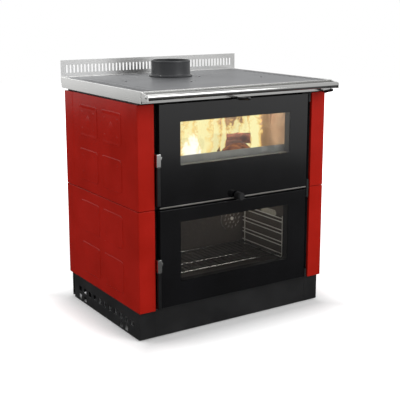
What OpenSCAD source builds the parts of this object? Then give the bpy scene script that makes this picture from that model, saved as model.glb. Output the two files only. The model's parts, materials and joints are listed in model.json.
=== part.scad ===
// Wood-burning cook stove: a glazed firebox above a glazed oven, under a ground steel hob.
// Sizes are in millimetres. +Z is up, the doors face -Y, and +X is to the right of someone
// who stands in front of the doors. The origin is on the floor, in the middle of the overall
// width and depth.

/* [Overall] */
// Width over the stainless top frame
top_w = 800; // [780:1:860]
// Height of the top frame's rim above the floor
worktop_h = 858; // [850:1:890]
// Depth of the side panels, from the plane of the doors to their rear edge
body_d = 563; // [555:1:610]
// Reach of the pull knobs in front of the doors
knob_reach = 100; // [96:1:112]
// Reach of the splashback behind the side panels
back_reach = 27; // [24:1:35]
// Height of the plinth, up to the base plate
plinth_h = 100; // [85:1:110]

/* [Sheet and plate] */
// Thickness of the stainless sheet of the top frame and splashback
trim_sheet = 1.5; // [1.2:0.1:2]
// Thickness of the steel sheet of the casing and smoke path
case_sheet = 2.5; // [2:0.1:3]
// Thickness of the plinth sheet
plinth_sheet = 2; // [1.5:0.1:3]
// Thickness of the base plate
base_t = 3; // [2:0.1:4]
// Thickness of the cast plate behind the doors
face_t = 6; // [5:0.5:8]
// Thickness of the firebox shell
shell_t = 4; // [3:0.5:5]

/* [Plinth and feet] */
// How far the plinth stands back from the outside of the top frame, each side
plinth_inset = 7; // [5:0.5:10]
// How far the front of the plinth stands back from the doors
plinth_set = 14; // [10:1:20]
// How far the rear edge of the plinth stands in front of the panels' rear edge
plinth_rear_set = 25; // [15:1:40]
// Width of the side plates' return across the front
plinth_return = 62; // [50:1:75]
// Gap between the plinth and the floor
plinth_gap = 2; // [1:0.5:4]
// Side of a square vent hole
vent_size = 20; // [16:1:22]
// Distance between vent holes
vent_pitch = 41.9; // [40:0.1:46]
// Number of vent holes in the upper row
vent_count = 11; // [9:1:11]
// Distance from the doors to the middle of the first upper vent hole
vent_first = 66; // [60:1:75]
// Height of the upper row of vent holes
vent_z = 50; // [45:1:58]
// Height of the lower vent holes
vent_low_z = 18; // [16:1:20]
// Radius of a foot's pad
foot_r = 22; // [16:1:26]
// Thickness of a foot's pad
foot_pad_h = 8; // [6:1:12]
// Radius of a foot's threaded stud
foot_stud_r = 5; // [4:0.5:6]
// Distance from a foot's middle to the outside of the plinth
foot_inset = 43; // [38:1:60]

/* [Glazed side panels] */
// How far the panel face stands in from the outside of the top frame
panel_inset = 2.2; // [2:0.1:4]
// Wall of the glazed panels
panel_wall = 12; // [10:0.5:14]
// Radius of the panels' outer front corner
panel_corner_r = 6; // [3:0.5:8]
// Width of the strip that a panel shows beside the doors
strip_w = 63; // [58:1:68]
// Gap between the upper and lower panels
panel_split = 1.5; // [1:0.1:3]
// Gap between the upper panels and the top frame
panel_top_gap = 6.6; // [6.6:0.1:9]
// Width of the band at the rear edge
band_w = 70; // [50:1:85]
// How far the band stands out
band_rise = 1.2; // [0.6:0.1:1.8]
// Width of the plain front stretch of a panel's side
plain_w = 60; // [50:1:80]
// Width of a relief tile
tile_w = 150; // [130:1:160]
// Height of a relief tile
tile_h = 117; // [100:1:125]
// Corner radius of a relief tile
tile_r = 18; // [12:1:22]
// Width of the raised border of a tile
tile_border = 7; // [4:0.5:9]
// How far a tile's border stands out
tile_rise = 1.8; // [1:0.1:1.9]
// Distance between tile middles along the depth
tile_pitch_y = 181; // [166:1:186]
// Distance between tile middles up the panel
tile_pitch_z = 161.5; // [150:0.5:165]
// Side of the raised lozenge in the middle of a tile
tile_motif = 34; // [24:1:44]

/* [Doors] */
// Gap between a door and the glazed strip beside it
door_side_gap = 19.5; // [18:0.5:22]
// Gap between the base plate and the oven door
door_foot_gap = 3; // [2.7:0.1:5]
// Gap between the firebox door and the top of the panels
door_head_gap = 4; // [3:0.5:6]
// Height of the oven door
oven_door_h = 343; // [335:1:350]
// Gap between the two doors
door_gap = 7; // [6.5:0.5:9]
// Thickness of the door glass
glass_t = 5; // [4:0.5:6]
// Thickness of the cast door plate behind the glass
door_plate_t = 8; // [6:0.5:9]
// How far the cast plate stands in from the edge of the glass
door_plate_inset = 1; // [0.5:0.5:2]
// Distance from the front of the glass to the back of the door's ridges
door_t = 33; // [31:0.5:35]
// Thickness of the sealing rope
seal_t = 4.7; // [4:0.1:6]
// Running gap between the rope and the plate behind the doors
seal_gap = 0.3; // [0.2:0.1:0.8]
// Width of the sealing rope and of the ridge that holds it
seal_w = 7; // [6:0.5:9]
// Distance from the door's side edges to the rope
seal_side = 5; // [4:0.5:8]
// Distance from the door's top and bottom edges to the rope
seal_end = 1.5; // [1.2:0.1:3]
// Distance from a door's side edge to its window
window_side = 81.3; // [76:0.1:95]
// Wall of the frame round a window, behind the glass
window_wall = 4; // [3:0.5:6]
// Distance from the firebox door's bottom edge to its window
fire_sill = 142; // [136:1:150]
// Distance from the firebox door's window to its top edge
fire_head = 62; // [52:1:70]
// Distance from the oven door's bottom edge to its window
oven_sill = 84; // [75:1:95]
// Distance from the oven door's window to its top edge
oven_head = 47; // [40:1:60]
// Height of the polished rail under the firebox glass
rail_h = 5.2; // [4:0.2:5.6]
// Gap between the polished rail and the glass
rail_gap = 0.3; // [0.1:0.1:0.6]

/* [Hinges] */
// Distance from the doors' front to the hinge axis
hinge_back = 6; // [5.5:0.5:7]
// Radius of the hinge pins
hinge_pin_r = 4; // [3:0.25:4.5]
// Outer radius of the hinge lugs
hinge_lug_r = 6; // [5.5:0.25:6]
// Height of a hinge lug
hinge_lug_h = 30; // [24:1:40]
// Thickness of the hinge plates
hinge_plate_t = 3; // [2.5:0.1:3.5]
// Running clearance round a shaft or pin, on the radius
run_gap = 0.05; // [0.02:0.01:0.1]
// Gap between pieces that slide past each other
slide_gap = 0.3; // [0.2:0.1:0.5]

/* [Handles] */
// Width of a handle
handle_w = 16; // [13:0.5:17]
// Gap between the handle and the door's edge
handle_gap = 1; // [0.5:0.1:1.5]
// Depth of the grip
grip_d = 15; // [12:0.5:20]
// How far a handle stands in front of the door
handle_front = 12; // [10:0.5:16]
// Length of the grip
grip_len = 132; // [110:1:140]
// Height of the chrome lever above the grip
lever_h = 44; // [40:1:50]
// Distance from the firebox door's bottom edge to its grip
fire_grip_sill = 14; // [10:1:20]
// Distance from the oven door's bottom edge to its grip
oven_grip_sill = 1.5; // [1:0.5:5]
// Radius of the stub shaft that a lever turns on
lever_pin_r = 4; // [3:0.25:4]
// Distance that the latch tongue reaches behind the doors' front
tongue_reach = 58; // [54:1:62]
// Thickness of the latch tongue
tongue_t = 5; // [4:0.5:6]
// Height of the latch tongue
tongue_h = 10; // [8:0.5:12]
// Radius of the latch roller
roller_r = 4; // [3:0.25:5]

/* [Top frame and rail] */
// Height of the top frame's edge
frame_h = 39.4; // [38:0.1:44]
// Reach of the top frame in front of the doors
frame_front = 31; // [28:0.5:33]
// Width of the rim round the hob
rim_w = 8; // [6:0.5:9]
// Width of the ledge that carries the hob, inside the edge
ledge_w = 15; // [12:0.5:20]
// Height of the splashback above the rim
splash_h = 63.5; // [50:0.5:90]
// Width of a splashback slot
splash_slot_w = 6.5; // [5:0.5:8]
// Height of a splashback slot
splash_slot_h = 31; // [24:1:34]
// Distance between splashback slots
splash_pitch = 15; // [14:0.5:18]
// Distance from the top of the splashback to its slots
splash_slot_drop = 17.5; // [12:0.5:20]
// Plain width at each end of the splashback
splash_end = 20; // [16:1:40]
// Outer radius of the towel rail
rail_r = 10.5; // [9:0.5:11]
// Distance from the doors to the middle of the towel rail
rail_reach = 62; // [58:1:66]
// Distance from the rim down to the middle of the towel rail
rail_drop = 16; // [14.5:0.5:17]
// Thickness of the rail brackets
bracket_t = 3; // [2:0.5:4]
// Reach of a rail bracket past the middle of the rail
bracket_nose = 12; // [11:0.5:14]
// Radius of the rail screws' heads
rail_screw_r = 5; // [4:0.5:6]

/* [Hob and flue] */
// Thickness of the hob plate
hob_t = 10; // [9:0.5:12]
// How far the hob lies below the rim
hob_drop = 1; // [0.5:0.5:2]
// Radius of the lift-off lids
lid_r = 133; // [120:1:134]
// Seam round a lid
lid_seam = 0.4; // [0.3:0.1:0.8]
// Thickness of a lid's rim where it lies on its ledge
lid_rim_t = 6; // [5:0.5:7]
// Width of the ledge under a lid
lid_ledge = 8; // [6:0.5:12]
// Place of the left lid, from the middle of the hob
lid_left_x = -165; // [-172:1:-163]
// Place of the right lid, from the middle of the hob
lid_right_x = 157; // [150:1:165]
// Distance from the doors to the middle of the left lid
lid_left_back = 260; // [250:1:261]
// Distance from the doors to the middle of the right lid
lid_right_back = 272; // [260:1:280]
// Distance from a lid's middle to a lifting slot
lift_reach = 118; // [95:1:118]
// Direction of the lifting slots, from the right
lift_angle = 144; // [130:1:160]
// Width of a lifting slot
lift_w = 7; // [5:0.5:10]
// Length of a lifting slot
lift_len = 22; // [16:1:24]
// Distance between the vent slots at the sides of the hob
side_slot_pitch = 32.6; // [30:0.1:36]
// Number of vent slots at each side of the hob
side_slot_count = 15; // [12:1:15]
// Length of a side vent slot
side_slot_len = 34; // [24:1:35]
// Width of a side vent slot
side_slot_w = 9; // [6:0.5:12]
// Distance from the outside of the hob to a side vent slot
side_slot_edge = 8; // [6:0.5:8]
// Distance from the outside of the hob to the scribed line near its left side
hob_line_left = 71; // [60:1:80]
// Distance from the outside of the hob to the scribed line near its right side
hob_line_right = 46; // [45:1:70]
// Outer radius of the flue spigot
spigot_r = 75; // [65:0.5:77]
// Wall of the flue spigot
spigot_wall = 5.5; // [4:0.5:7]
// Radius of the collar's flange
collar_r = 83; // [81:0.5:84]
// Thickness of the collar's flange
collar_t = 6; // [5:0.5:9]
// Height of the flue collar above the hob
collar_h = 62; // [50:1:80]
// Place of the flue, from the middle of the hob
flue_x = -18; // [-18:1:-8]
// Distance from the doors to the middle of the flue
flue_back = 421; // [420:1:430]

/* [Firebox] */
// Distance from the outside of the top frame in to the face of the firebricks
fire_inset = 150; // [145:1:160]
// Depth in front of the rear firebricks, from the back of the face plate
fire_d = 310; // [290:1:315]
// Thickness of the firebricks
brick_t = 30; // [25:1:32]
// Number of firebricks along each wall
brick_count = 3; // [2:1:4]
// Joint between firebricks
brick_joint = 1; // [0.6:0.1:2]
// Distance from the firebox door's bottom edge to the firebox floor
fire_floor_up = 104; // [100:1:110]
// Thickness of the firebox floor
fire_floor_t = 12; // [10:1:14]
// Distance from the underside of the hob down to the firebox shell's top
chamber_h = 49; // [46:1:56]
// Distance from the shell's top down to the top of the firebricks
brick_drop = 28; // [24:1:34]
// Thickness of the baffle
baffle_t = 12; // [10:1:15]
// Open gap in front of the baffle, from the face plate
baffle_gap = 96; // [80:1:120]
// Height of the log retainer above the firebox floor
retainer_h = 61; // [55:1:66]
// Thickness of the log retainer
retainer_t = 4; // [3:0.5:5]
// Width of the grate
grate_w = 216; // [180:1:240]
// Depth of the grate
grate_d = 156; // [130:1:170]
// Thickness of the grate
grate_t = 6; // [5:0.5:8]
// Number of slots in the grate
grate_slots = 9; // [7:1:9]
// Distance from the face of the firebricks in to the side of the ash drawer
drawer_inset = 49; // [48:1:70]
// Height of the ash drawer's front
drawer_h = 70; // [60:1:72]
// Depth of the ash drawer
drawer_d = 296; // [270:1:305]
// Wall of the ash drawer
drawer_wall = 1.5; // [1.2:0.1:2]

/* [Oven] */
// Distance from the outside of the top frame in to the oven's side
oven_inset = 135; // [130:1:150]
// Inner depth of the oven, from the back of the face plate
oven_d = 286; // [270:1:300]
// Distance from the oven door's bottom edge to the oven floor
oven_floor_up = 18; // [15:1:22]
// Distance from the oven's ceiling to the oven door's top edge
oven_ceiling_down = 17; // [14:1:24]
// Inner corner radius of the oven
oven_r = 14; // [8:1:18]
// Wall of the oven liner
liner_t = 1.5; // [1:0.1:2]
// Height of the lowest shelf wire above the oven floor
shelf_first = 53; // [45:1:60]
// Distance between shelf levels
shelf_pitch = 46; // [42:1:48]
// Number of shelf levels
shelf_levels = 4; // [3:1:4]
// Gap between the two wires of a shelf level, middle to middle
shelf_pair = 14; // [12.5:0.5:16]
// Radius of the shelf wires
shelf_wire_r = 2; // [1.5:0.25:2.5]
// Distance from the oven wall to the shelf wires
shelf_stand = 9; // [8:0.5:12]
// Radius of the rack's outer wire
rack_frame_r = 3; // [2.5:0.25:3.5]
// Radius of the rack's cross wires
rack_wire_r = 1.5; // [1.25:0.25:2]
// Distance between the rack's cross wires
rack_pitch = 22; // [18:1:28]
// Depth of the rack
rack_d = 222; // [200:1:230]
// Radius of the round vent cover
vent_cover_r = 50; // [40:1:55]
// Distance from the oven's right side to the middle of the vent cover
vent_cover_in = 59; // [56:1:70]
// Height of the vent cover's middle above the oven floor
vent_cover_up = 156; // [140:1:170]
// Length of the lamp lens
lamp_len = 92; // [70:1:100]
// Height of the lamp lens
lamp_h = 22; // [18:1:26]
// Height of the lamp's middle above the oven floor
lamp_up = 214; // [205:1:226]

/* [Smoke path] */
// Distance from the outside of the top frame in to the smoke chamber
chamber_inset = 52; // [51:1:56]
// Width of a side duct
side_duct_w = 56; // [45:1:58]
// Depth of a side duct
side_duct_d = 200; // [150:1:220]
// Distance from the doors to a side duct
side_duct_back = 100; // [90:1:120]
// Width of the riser behind the firebox
riser_w = 260; // [200:1:280]
// Depth of the riser
riser_d = 72; // [60:1:76]
// Distance from the jacket's top to the bottom of the firebox shell
jacket_gap = 16; // [12:1:20]
// Width of the bypass port
port_w = 185; // [150:1:200]
// Thickness of the bypass gate
gate_t = 2.7; // [2:0.1:4]

/* [Pull controls] */
// Radius of the control rods
rod_r = 3; // [2.5:0.1:3]
// Radius of the pull knobs
pull_r = 6; // [5:0.5:6]
// Distance from the top frame to the pull knobs behind it
knob_room = 4.5; // [3:0.5:8]
// Place of the secondary air rod, from the middle
air_x = -20; // [-40:1:20]
// Rise of the secondary air knob, in degrees
air_tilt = 5.5; // [2:0.5:7]
// Distance from the outside of the top frame in to the bypass rod
bypass_inset = 36; // [35:1:38]
// Rise of the bypass knob, in degrees
bypass_tilt = 14; // [6:0.5:16]
// How much shorter the bypass knob reaches than the air knob
bypass_short = 20; // [10:1:25]
// Radius of the round knob of the door's air valve
valve_knob_r = 14; // [11:0.5:14]
// Length of the round knob of the door's air valve
valve_knob_len = 30; // [24:1:34]
// Place of the door's air valve, from the middle
valve_x = -4; // [-12:1:12]
// Height of the door's air valve above the door's bottom edge
valve_up = 12; // [12:0.5:14]
// Radius of the valve stem
valve_stem_r = 3; // [2.5:0.1:3.2]
// Travel of the door's air valve
valve_travel = 12; // [8:1:12]
// Room behind the plate for the link of the bypass rod
link_room = 36; // [36:1:44]
// Radius of the notch round the valve stem in the firebox glass
notch_r = 12; // [11.5:0.5:12.5]
// Thickness of the top hinge plate
top_plate_t = 3; // [2:0.5:3]
// Radius of the power gland at the rear
gland_r = 11; // [9:0.5:13]

/* [Hidden] */
$fn = 64;
// A cut reaches this far past the face that it opens
cut = 1;

front_y = knob_reach - (knob_reach + body_d + back_reach) / 2;
half_w = top_w / 2;
panel_x = half_w - panel_inset;
panel_in = panel_x - panel_wall;
strip_x = panel_x - strip_w;
wall_in = panel_in - case_sheet;
door_x = strip_x - door_side_gap;
window_x = door_x - window_side;
bypass_x = half_w - bypass_inset;
frame_z = worktop_h - frame_h;
frame_back = body_d + back_reach - trim_sheet;
panel_z0 = plinth_h + 1.8;
panel_z1 = frame_z - panel_top_gap;
split_z = (panel_z0 + panel_z1) / 2;
base_top = plinth_h + base_t;
case_back = body_d - 2;
cover_t = 2;
louvre_low = 60;
louvre_h = 70;
louvre_w = 10;
louvre_pitch = 45;
gland_in = 60;
gland_up = 40;
plinth_x = half_w - plinth_inset;
plinth_back = body_d - plinth_rear_set;
plinth_flange = 22;

plate_back = glass_t + door_plate_t;
face_front = door_t + seal_t + seal_gap;
face_back = face_front + face_t;
oven_z0 = base_top + door_foot_gap;
oven_z1 = oven_z0 + oven_door_h;
fire_z0 = oven_z1 + door_gap;
fire_z1 = panel_z1 - door_head_gap;
glass_z0 = fire_z0 + rail_h + rail_gap;
hinge_x = (door_x + strip_x) / 2;
hinge_arm = 6.5;
pin_reach = hinge_lug_h - 2;

hob_z1 = worktop_h - hob_drop;
hob_z0 = hob_z1 - hob_t;
rim_z = worktop_h - trim_sheet;
ledge_z = hob_z0 - trim_sheet;
rim_x = half_w - rim_w;
ledge_x = half_w - trim_sheet - ledge_w;
rim_front = rim_w - frame_front;
rim_back = frame_back - rim_w;
hob_gap = 0.5;
hob_x = rim_x - hob_gap;
hob_line_w = 1.2;
hob_line_depth = 0.8;
lid_z = hob_z1 - lid_rim_t;
spigot_in = spigot_r - spigot_wall;
web_x = half_w - trim_sheet - bracket_t - 0.1;
rail_z = worktop_h - rail_drop;
splash_top = worktop_h + splash_h;
splash_slots = floor((top_w - 2 * splash_end - splash_slot_w) / splash_pitch) + 1;
flange_x = half_w - 24;

fire_x = half_w - fire_inset;
shell_in = fire_x + brick_t;
shell_x = shell_in + shell_t;
brick_back = face_back + fire_d;
shell_in_back = brick_back + brick_t;
shell_back = shell_in_back + shell_t;
shell_z1 = hob_z0 - chamber_h;
brick_z1 = shell_z1 - brick_drop;
fire_floor = fire_z0 + fire_floor_up;
floor_z0 = fire_floor - fire_floor_t;
jacket_z1 = oven_z1 + 1;
shell_z0 = jacket_z1 + jacket_gap;
ash_floor = shell_z0 + shell_t;
grate_z0 = fire_floor - grate_t;
grate_front = face_back + (fire_d - grate_d) / 2;
grate_edge = 12;
retainer_foot_in = 38;
retainer_foot_h = 20;
retainer_foot_d = 28;
retainer_foot_w = 6;
retainer_gap = 2;
retainer_front = face_back + retainer_gap;
drawer_x = fire_x - drawer_inset;
drawer_z0 = ash_floor + slide_gap;
drawer_front = face_back + 0.5;
opening_low = fire_floor + 6;

air_back = face_back + link_room;
air_z0 = shell_z1 - 14;
chamber_front = air_back;
chamber_back = case_back - 5;
chamber_floor = shell_z1 + case_sheet;
gate_wall_back = flue_back - spigot_in - 5;
gate_wall_front = gate_wall_back - case_sheet;
gate_front = gate_wall_front - slide_gap - gate_t;
port_z1 = hob_z0 - 7;
gate_low = chamber_floor + 1.5;
chamber_half = half_w - chamber_inset;
duct_x1 = chamber_half - 2;
duct_x0 = duct_x1 - side_duct_w;
jacket_back = shell_back + 10 + riser_d;
riser_front = jacket_back - riser_d;
weld_gap = 0.1;
jacket_side_room = 9.3;
jacket_x = wall_in - jacket_side_room;

oven_x = half_w - oven_inset;
vent_cover_x = oven_x - vent_cover_in;
oven_floor = oven_z0 + oven_floor_up;
oven_top = oven_z1 - oven_ceiling_down;
oven_back = face_back + oven_d;
runner_x = oven_x - shelf_stand;
upright_x = runner_x + 2 * shelf_wire_r - 0.5;
rack_x = runner_x - 2;
rack_lift = sqrt(pow(rack_frame_r + shelf_wire_r + slide_gap, 2) - 4);
rack_z = oven_floor + shelf_first + rack_lift;
rack_front = oven_back - 8 - rack_d;
lamp_t = (face_back + oven_back) / 2 - 28;
lamp_z = oven_floor + lamp_up;
vent_z_mid = oven_floor + vent_cover_up;

pivot_t = glass_t + door_plate_t / 2;
pivot_up = 21;
fire_grip_z0 = fire_z0 + fire_grip_sill;
oven_grip_z0 = oven_z0 + oven_grip_sill;
handle_x1 = -(door_x + handle_gap);
handle_x0 = handle_x1 - handle_w;
tongue_x = (handle_x0 + handle_x1) / 2;
keeper_wall = 2;
latch_side = 6.5;
latch_below = 33;
latch_above = 17;

air_z = frame_z - 4.6;
bypass_z = frame_z - rod_r - slide_gap;
knob_start = -frame_front - knob_room;
rod_tip = knob_start - 10;
ferrule_r = rod_r + 1;
shutter_half = 38;
link_t = air_back - 8;
rod_crank = 34;
inner_rod_x = bypass_x - rod_crank;
valve_z = fire_z0 + valve_up;
valve_front = -6;
shutter_back = plate_back + valve_travel + 3;

function y_at(t) = front_y + t;

module block(x0, x1, t0, t1, z0, z1) {
    translate([x0, y_at(t0), z0])
        cube([x1 - x0, t1 - t0, z1 - z0]);
}

module span(x, t0, t1, z0, z1) {
    block(-x, x, t0, t1, z0, z1);
}

module bar_x(x0, x1, t, z, r) {
    translate([x0, y_at(t), z])
        rotate([0, 90, 0])
            cylinder(h = x1 - x0, r = r);
}

module bar_y(x, t0, t1, z, r) {
    translate([x, y_at(t0), z])
        rotate([-90, 0, 0])
            cylinder(h = t1 - t0, r = r);
}

module bar_z(x, t, z0, z1, r) {
    translate([x, y_at(t), z0])
        cylinder(h = z1 - z0, r = r);
}

module both_sides() {
    children();
    mirror([1, 0, 0])
        children();
}

module round_rect(w, h, r) {
    square([w - 2 * r, h], center = true);
    square([w, h - 2 * r], center = true);
    for (x = [-1, 1], y = [-1, 1])
        translate([x * (w / 2 - r), y * (h / 2 - r)])
            circle(r);
}

// A rounded plate that stands upright and faces the front
module round_plate(x, t0, t1, z0, z1, r) {
    translate([0, y_at(t1), (z0 + z1) / 2])
        rotate([90, 0, 0])
            linear_extrude(t1 - t0)
                round_rect(2 * x, z1 - z0, r);
}

// An upright slot with round ends, cut from front to back
module upright_slot(x, t0, t1, z0, z1, w) {
    block(x - w / 2, x + w / 2, t0, t1, z0 + w / 2, z1 - w / 2);
    bar_y(x, t0, t1, z0 + w / 2, w / 2);
    bar_y(x, t0, t1, z1 - w / 2, w / 2);
}

module levelling_feet() {
    color("#2b2b2c")
        for (side = [-1, 1], t = [plinth_set + foot_inset, plinth_back - foot_inset]) {
            bar_z(side * (plinth_x - foot_inset), t, 0, foot_pad_h, foot_r);
            bar_z(side * (plinth_x - foot_inset), t, foot_pad_h - cut, plinth_h, foot_stud_r);
            bar_z(side * (plinth_x - foot_inset), t, plinth_h - 10, plinth_h, foot_stud_r * 2);
        }
}

module plinth_front() {
    color("#1f1f20") {
        span(plinth_x - plinth_return, plinth_set, plinth_set + plinth_sheet, plinth_gap, plinth_h);
        span(plinth_x - plinth_return, plinth_set, plinth_set + plinth_flange,
            plinth_h - plinth_sheet, plinth_h);
    }
}

module plinth_side() {
    side_in = plinth_x - plinth_sheet;
    return_x = plinth_x - plinth_return;
    difference() {
        union() {
            block(side_in, plinth_x, plinth_set, plinth_back, plinth_gap, plinth_h);
            block(return_x, plinth_x, plinth_set, plinth_set + plinth_sheet, plinth_gap, plinth_h);
            block(plinth_x - plinth_flange, plinth_x, plinth_set, plinth_back,
                plinth_h - plinth_sheet, plinth_h);
            block(return_x, plinth_x, plinth_set, plinth_set + plinth_flange,
                plinth_h - plinth_sheet, plinth_h);
        }
        for (i = [0:vent_count - 1])
            block(side_in - cut, plinth_x + cut,
                vent_first + i * vent_pitch - vent_size / 2,
                vent_first + i * vent_pitch + vent_size / 2,
                vent_z - vent_size / 2, vent_z + vent_size / 2);
        for (i = [1, 2, vent_count - 2, vent_count - 1])
            block(side_in - cut, plinth_x + cut,
                vent_first + i * vent_pitch - vent_size / 2,
                vent_first + i * vent_pitch + vent_size / 2,
                vent_low_z - vent_size / 2, vent_low_z + vent_size / 2);
    }
}

module plinth_left() {
    color("#1f1f20")
        mirror([1, 0, 0])
            plinth_side();
}

module plinth_right() {
    color("#1f1f20")
        plinth_side();
}

module base_plate() {
    color("#2a2a2b")
        difference() {
            span(panel_in, panel_wall, case_back, plinth_h, base_top);
            bar_z(0, case_back - 46, plinth_h - cut, base_top + cut, 30);
        }
}

module side_wall() {
    block(wall_in, panel_in, panel_wall, case_back, base_top, frame_z);
    block(strip_x, panel_in, panel_wall, panel_wall + case_sheet, base_top, panel_z1 - 1);
    block(strip_x, strip_x + case_sheet, panel_wall, face_front, base_top, panel_z1 - 1);
}

module side_wall_left() {
    color("#3a3a3b")
        mirror([1, 0, 0])
            side_wall();
}

module side_wall_right() {
    color("#3a3a3b")
        side_wall();
}

module rear_cover() {
    color("#3a3a3b")
        difference() {
            span(wall_in, case_back - cover_t, case_back, base_top, panel_z1);
            for (i = [-6:6], z = [base_top + louvre_low, panel_z1 - 2 * louvre_h])
                upright_slot(i * louvre_pitch, case_back - cover_t - cut, case_back + cut,
                    z, z + louvre_h, louvre_w);
            bar_y(wall_in - gland_in, case_back - cover_t - cut, case_back + cut, base_top + gland_up,
                gland_r - 2);
        }
}

module power_gland() {
    color("#1c1c1d") {
        bar_y(wall_in - gland_in, case_back, case_back + 9, base_top + gland_up, gland_r);
        bar_y(wall_in - gland_in, case_back - cover_t - 4, case_back + cut, base_top + gland_up, gland_r - 2);
        bar_y(wall_in - gland_in, case_back + 8, case_back + 16, base_top + gland_up, gland_r - 3);
    }
}

module latch_notch(grip_z0) {
    pivot_z = grip_z0 + grip_len + pivot_up;
    block(-wall_in - cut, tongue_x + latch_side, face_front - cut, face_back + cut,
        pivot_z - latch_below, pivot_z + latch_above);
}

module front_plate() {
    color("#303031")
        difference() {
            span(wall_in, face_front, face_back, base_top, hob_z0);
            span(fire_x, face_front - cut, face_back + cut, opening_low, brick_z1);
            span(drawer_x + 3, face_front - cut, face_back + cut, ash_floor,
                drawer_z0 + drawer_h + 3);
            round_plate(oven_x, face_front - cut, face_back + cut, oven_floor, oven_top, oven_r);
            latch_notch(fire_grip_z0);
            latch_notch(oven_grip_z0);
            both_sides()
                block(min(flange_x, ledge_x) - slide_gap, wall_in + cut, face_front - cut,
                    face_back + cut, frame_z - slide_gap, hob_z0 + cut);
            bar_y(air_x, face_front - cut, face_back + cut, air_z, rod_r + run_gap);
            bar_y(bypass_x, face_front - cut, face_back + cut, bypass_z, rod_r + run_gap);
            for (i = [-2, -1, 1, 2])
                bar_y(air_x + i * 13, face_front - cut, face_back + cut, air_z, 3.5);
        }
}

module panel_plan() {
    translate([strip_x, y_at(0)])
        square([strip_w - panel_corner_r, panel_wall]);
    translate([panel_in, y_at(panel_corner_r)])
        square([panel_wall, body_d - panel_corner_r]);
    translate([panel_x - panel_corner_r, y_at(panel_corner_r)])
        circle(panel_corner_r);
}

module relief_tile(y, z) {
    translate([panel_x - cut, y, z])
        rotate([90, 0, 90]) {
            linear_extrude(cut + tile_rise / 2)
                round_rect(tile_w, tile_h, tile_r);
            linear_extrude(cut + tile_rise)
                difference() {
                    round_rect(tile_w, tile_h, tile_r);
                    round_rect(tile_w - 2 * tile_border, tile_h - 2 * tile_border,
                        tile_r - tile_border);
                }
            linear_extrude(cut + tile_rise)
                rotate(45)
                    square(tile_motif, center = true);
            for (u = [-1, 1], v = [-1, 1])
                translate([u * tile_w * 0.33, v * tile_h * 0.28])
                    cylinder(h = cut + tile_rise, r = tile_motif / 4);
        }
}

module panel(z0, z1) {
    mid_y = y_at((plain_w + body_d - band_w) / 2);
    translate([0, 0, z0])
        linear_extrude(z1 - z0)
            panel_plan();
    block(panel_x - cut, panel_x + band_rise, body_d - band_w, body_d, z0, z1);
    for (u = [-0.5, 0.5], v = [-0.5, 0.5])
        relief_tile(mid_y + u * tile_pitch_y, (z0 + z1) / 2 + v * tile_pitch_z);
}

module panel_upper_right() {
    color("#9c1c19")
        panel(split_z + panel_split / 2, panel_z1);
}

module panel_upper_left() {
    color("#9c1c19")
        mirror([1, 0, 0])
            panel(split_z + panel_split / 2, panel_z1);
}

module panel_lower_right() {
    color("#9c1c19")
        panel(panel_z0, split_z - panel_split / 2);
}

module panel_lower_left() {
    color("#9c1c19")
        mirror([1, 0, 0])
            panel(panel_z0, split_z - panel_split / 2);
}

module top_frame_front() {
    color("#d6d6d4") {
        span(web_x, -frame_front, trim_sheet - frame_front, frame_z, rim_z);
        span(rim_x, -frame_front, rim_front, rim_z, worktop_h);
        span(flange_x, -frame_front, face_front, frame_z, frame_z + trim_sheet);
        span(ledge_x, trim_sheet - frame_front, trim_sheet + ledge_w - frame_front,
            ledge_z, hob_z0);
    }
}

module top_frame_side() {
    block(half_w - trim_sheet, half_w, -frame_front, frame_back, frame_z, worktop_h);
    block(rim_x, half_w, -frame_front, frame_back, rim_z, worktop_h);
    block(flange_x, half_w, trim_sheet - frame_front, frame_back, frame_z, frame_z + trim_sheet);
    block(ledge_x, half_w, trim_sheet - frame_front, frame_back, ledge_z, hob_z0);
}

module top_frame_left() {
    color("#d6d6d4")
        mirror([1, 0, 0])
            top_frame_side();
}

module top_frame_right() {
    color("#d6d6d4")
        top_frame_side();
}

module splashback() {
    color("#d6d6d4") {
        difference() {
            span(half_w, frame_back, frame_back + trim_sheet, frame_z, splash_top);
            for (i = [0:splash_slots - 1])
                upright_slot((i - (splash_slots - 1) / 2) * splash_pitch,
                    frame_back - cut, frame_back + trim_sheet + cut,
                    splash_top - splash_slot_drop - splash_slot_h,
                    splash_top - splash_slot_drop, splash_slot_w);
        }
        span(rim_x, rim_back, frame_back + cut, rim_z, worktop_h);
        span(ledge_x, frame_back - ledge_w, frame_back + cut, ledge_z, hob_z0);
    }
}

module towel_rail() {
    rail_x = half_w - trim_sheet - bracket_t;
    color("#dededd")
        difference() {
            bar_x(-rail_x, rail_x, -rail_reach, rail_z, rail_r);
            bar_x(-rail_x - cut, rail_x + cut, -rail_reach, rail_z, rail_r - 1.5);
        }
}

module rail_bracket() {
    nose = -rail_reach - bracket_nose;
    inner = trim_sheet - frame_front - 0.2;
    translate([half_w - trim_sheet - bracket_t, 0, 0])
        rotate([90, 0, 90])
            linear_extrude(bracket_t)
                polygon([
                    [y_at(-6), frame_z + 7.4],
                    [y_at(-6), ledge_z - 0.3],
                    [y_at(inner), ledge_z - 0.3],
                    [y_at(inner), rim_z - 0.3],
                    [y_at(-frame_front), rim_z - 0.3],
                    [y_at(nose), rail_z + 7.5],
                    [y_at(nose), rail_z - rail_r - 2],
                    [y_at(-frame_front), frame_z + 7.4]
                ]);
}

module rail_brackets() {
    color("#c9c9c8")
        both_sides()
            rail_bracket();
}

module top_screws() {
    color("#b9b9b8") {
        both_sides()
            bar_x(half_w - trim_sheet, half_w, -rail_reach, rail_z, rail_screw_r);
        for (a = [90, 210, 330])
            bar_z(flue_x + (spigot_r + collar_r) / 2 * cos(a),
                flue_back + (spigot_r + collar_r) / 2 * sin(a),
                hob_z1 + collar_t, hob_z1 + collar_t + 2, 3);
    }
}

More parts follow.
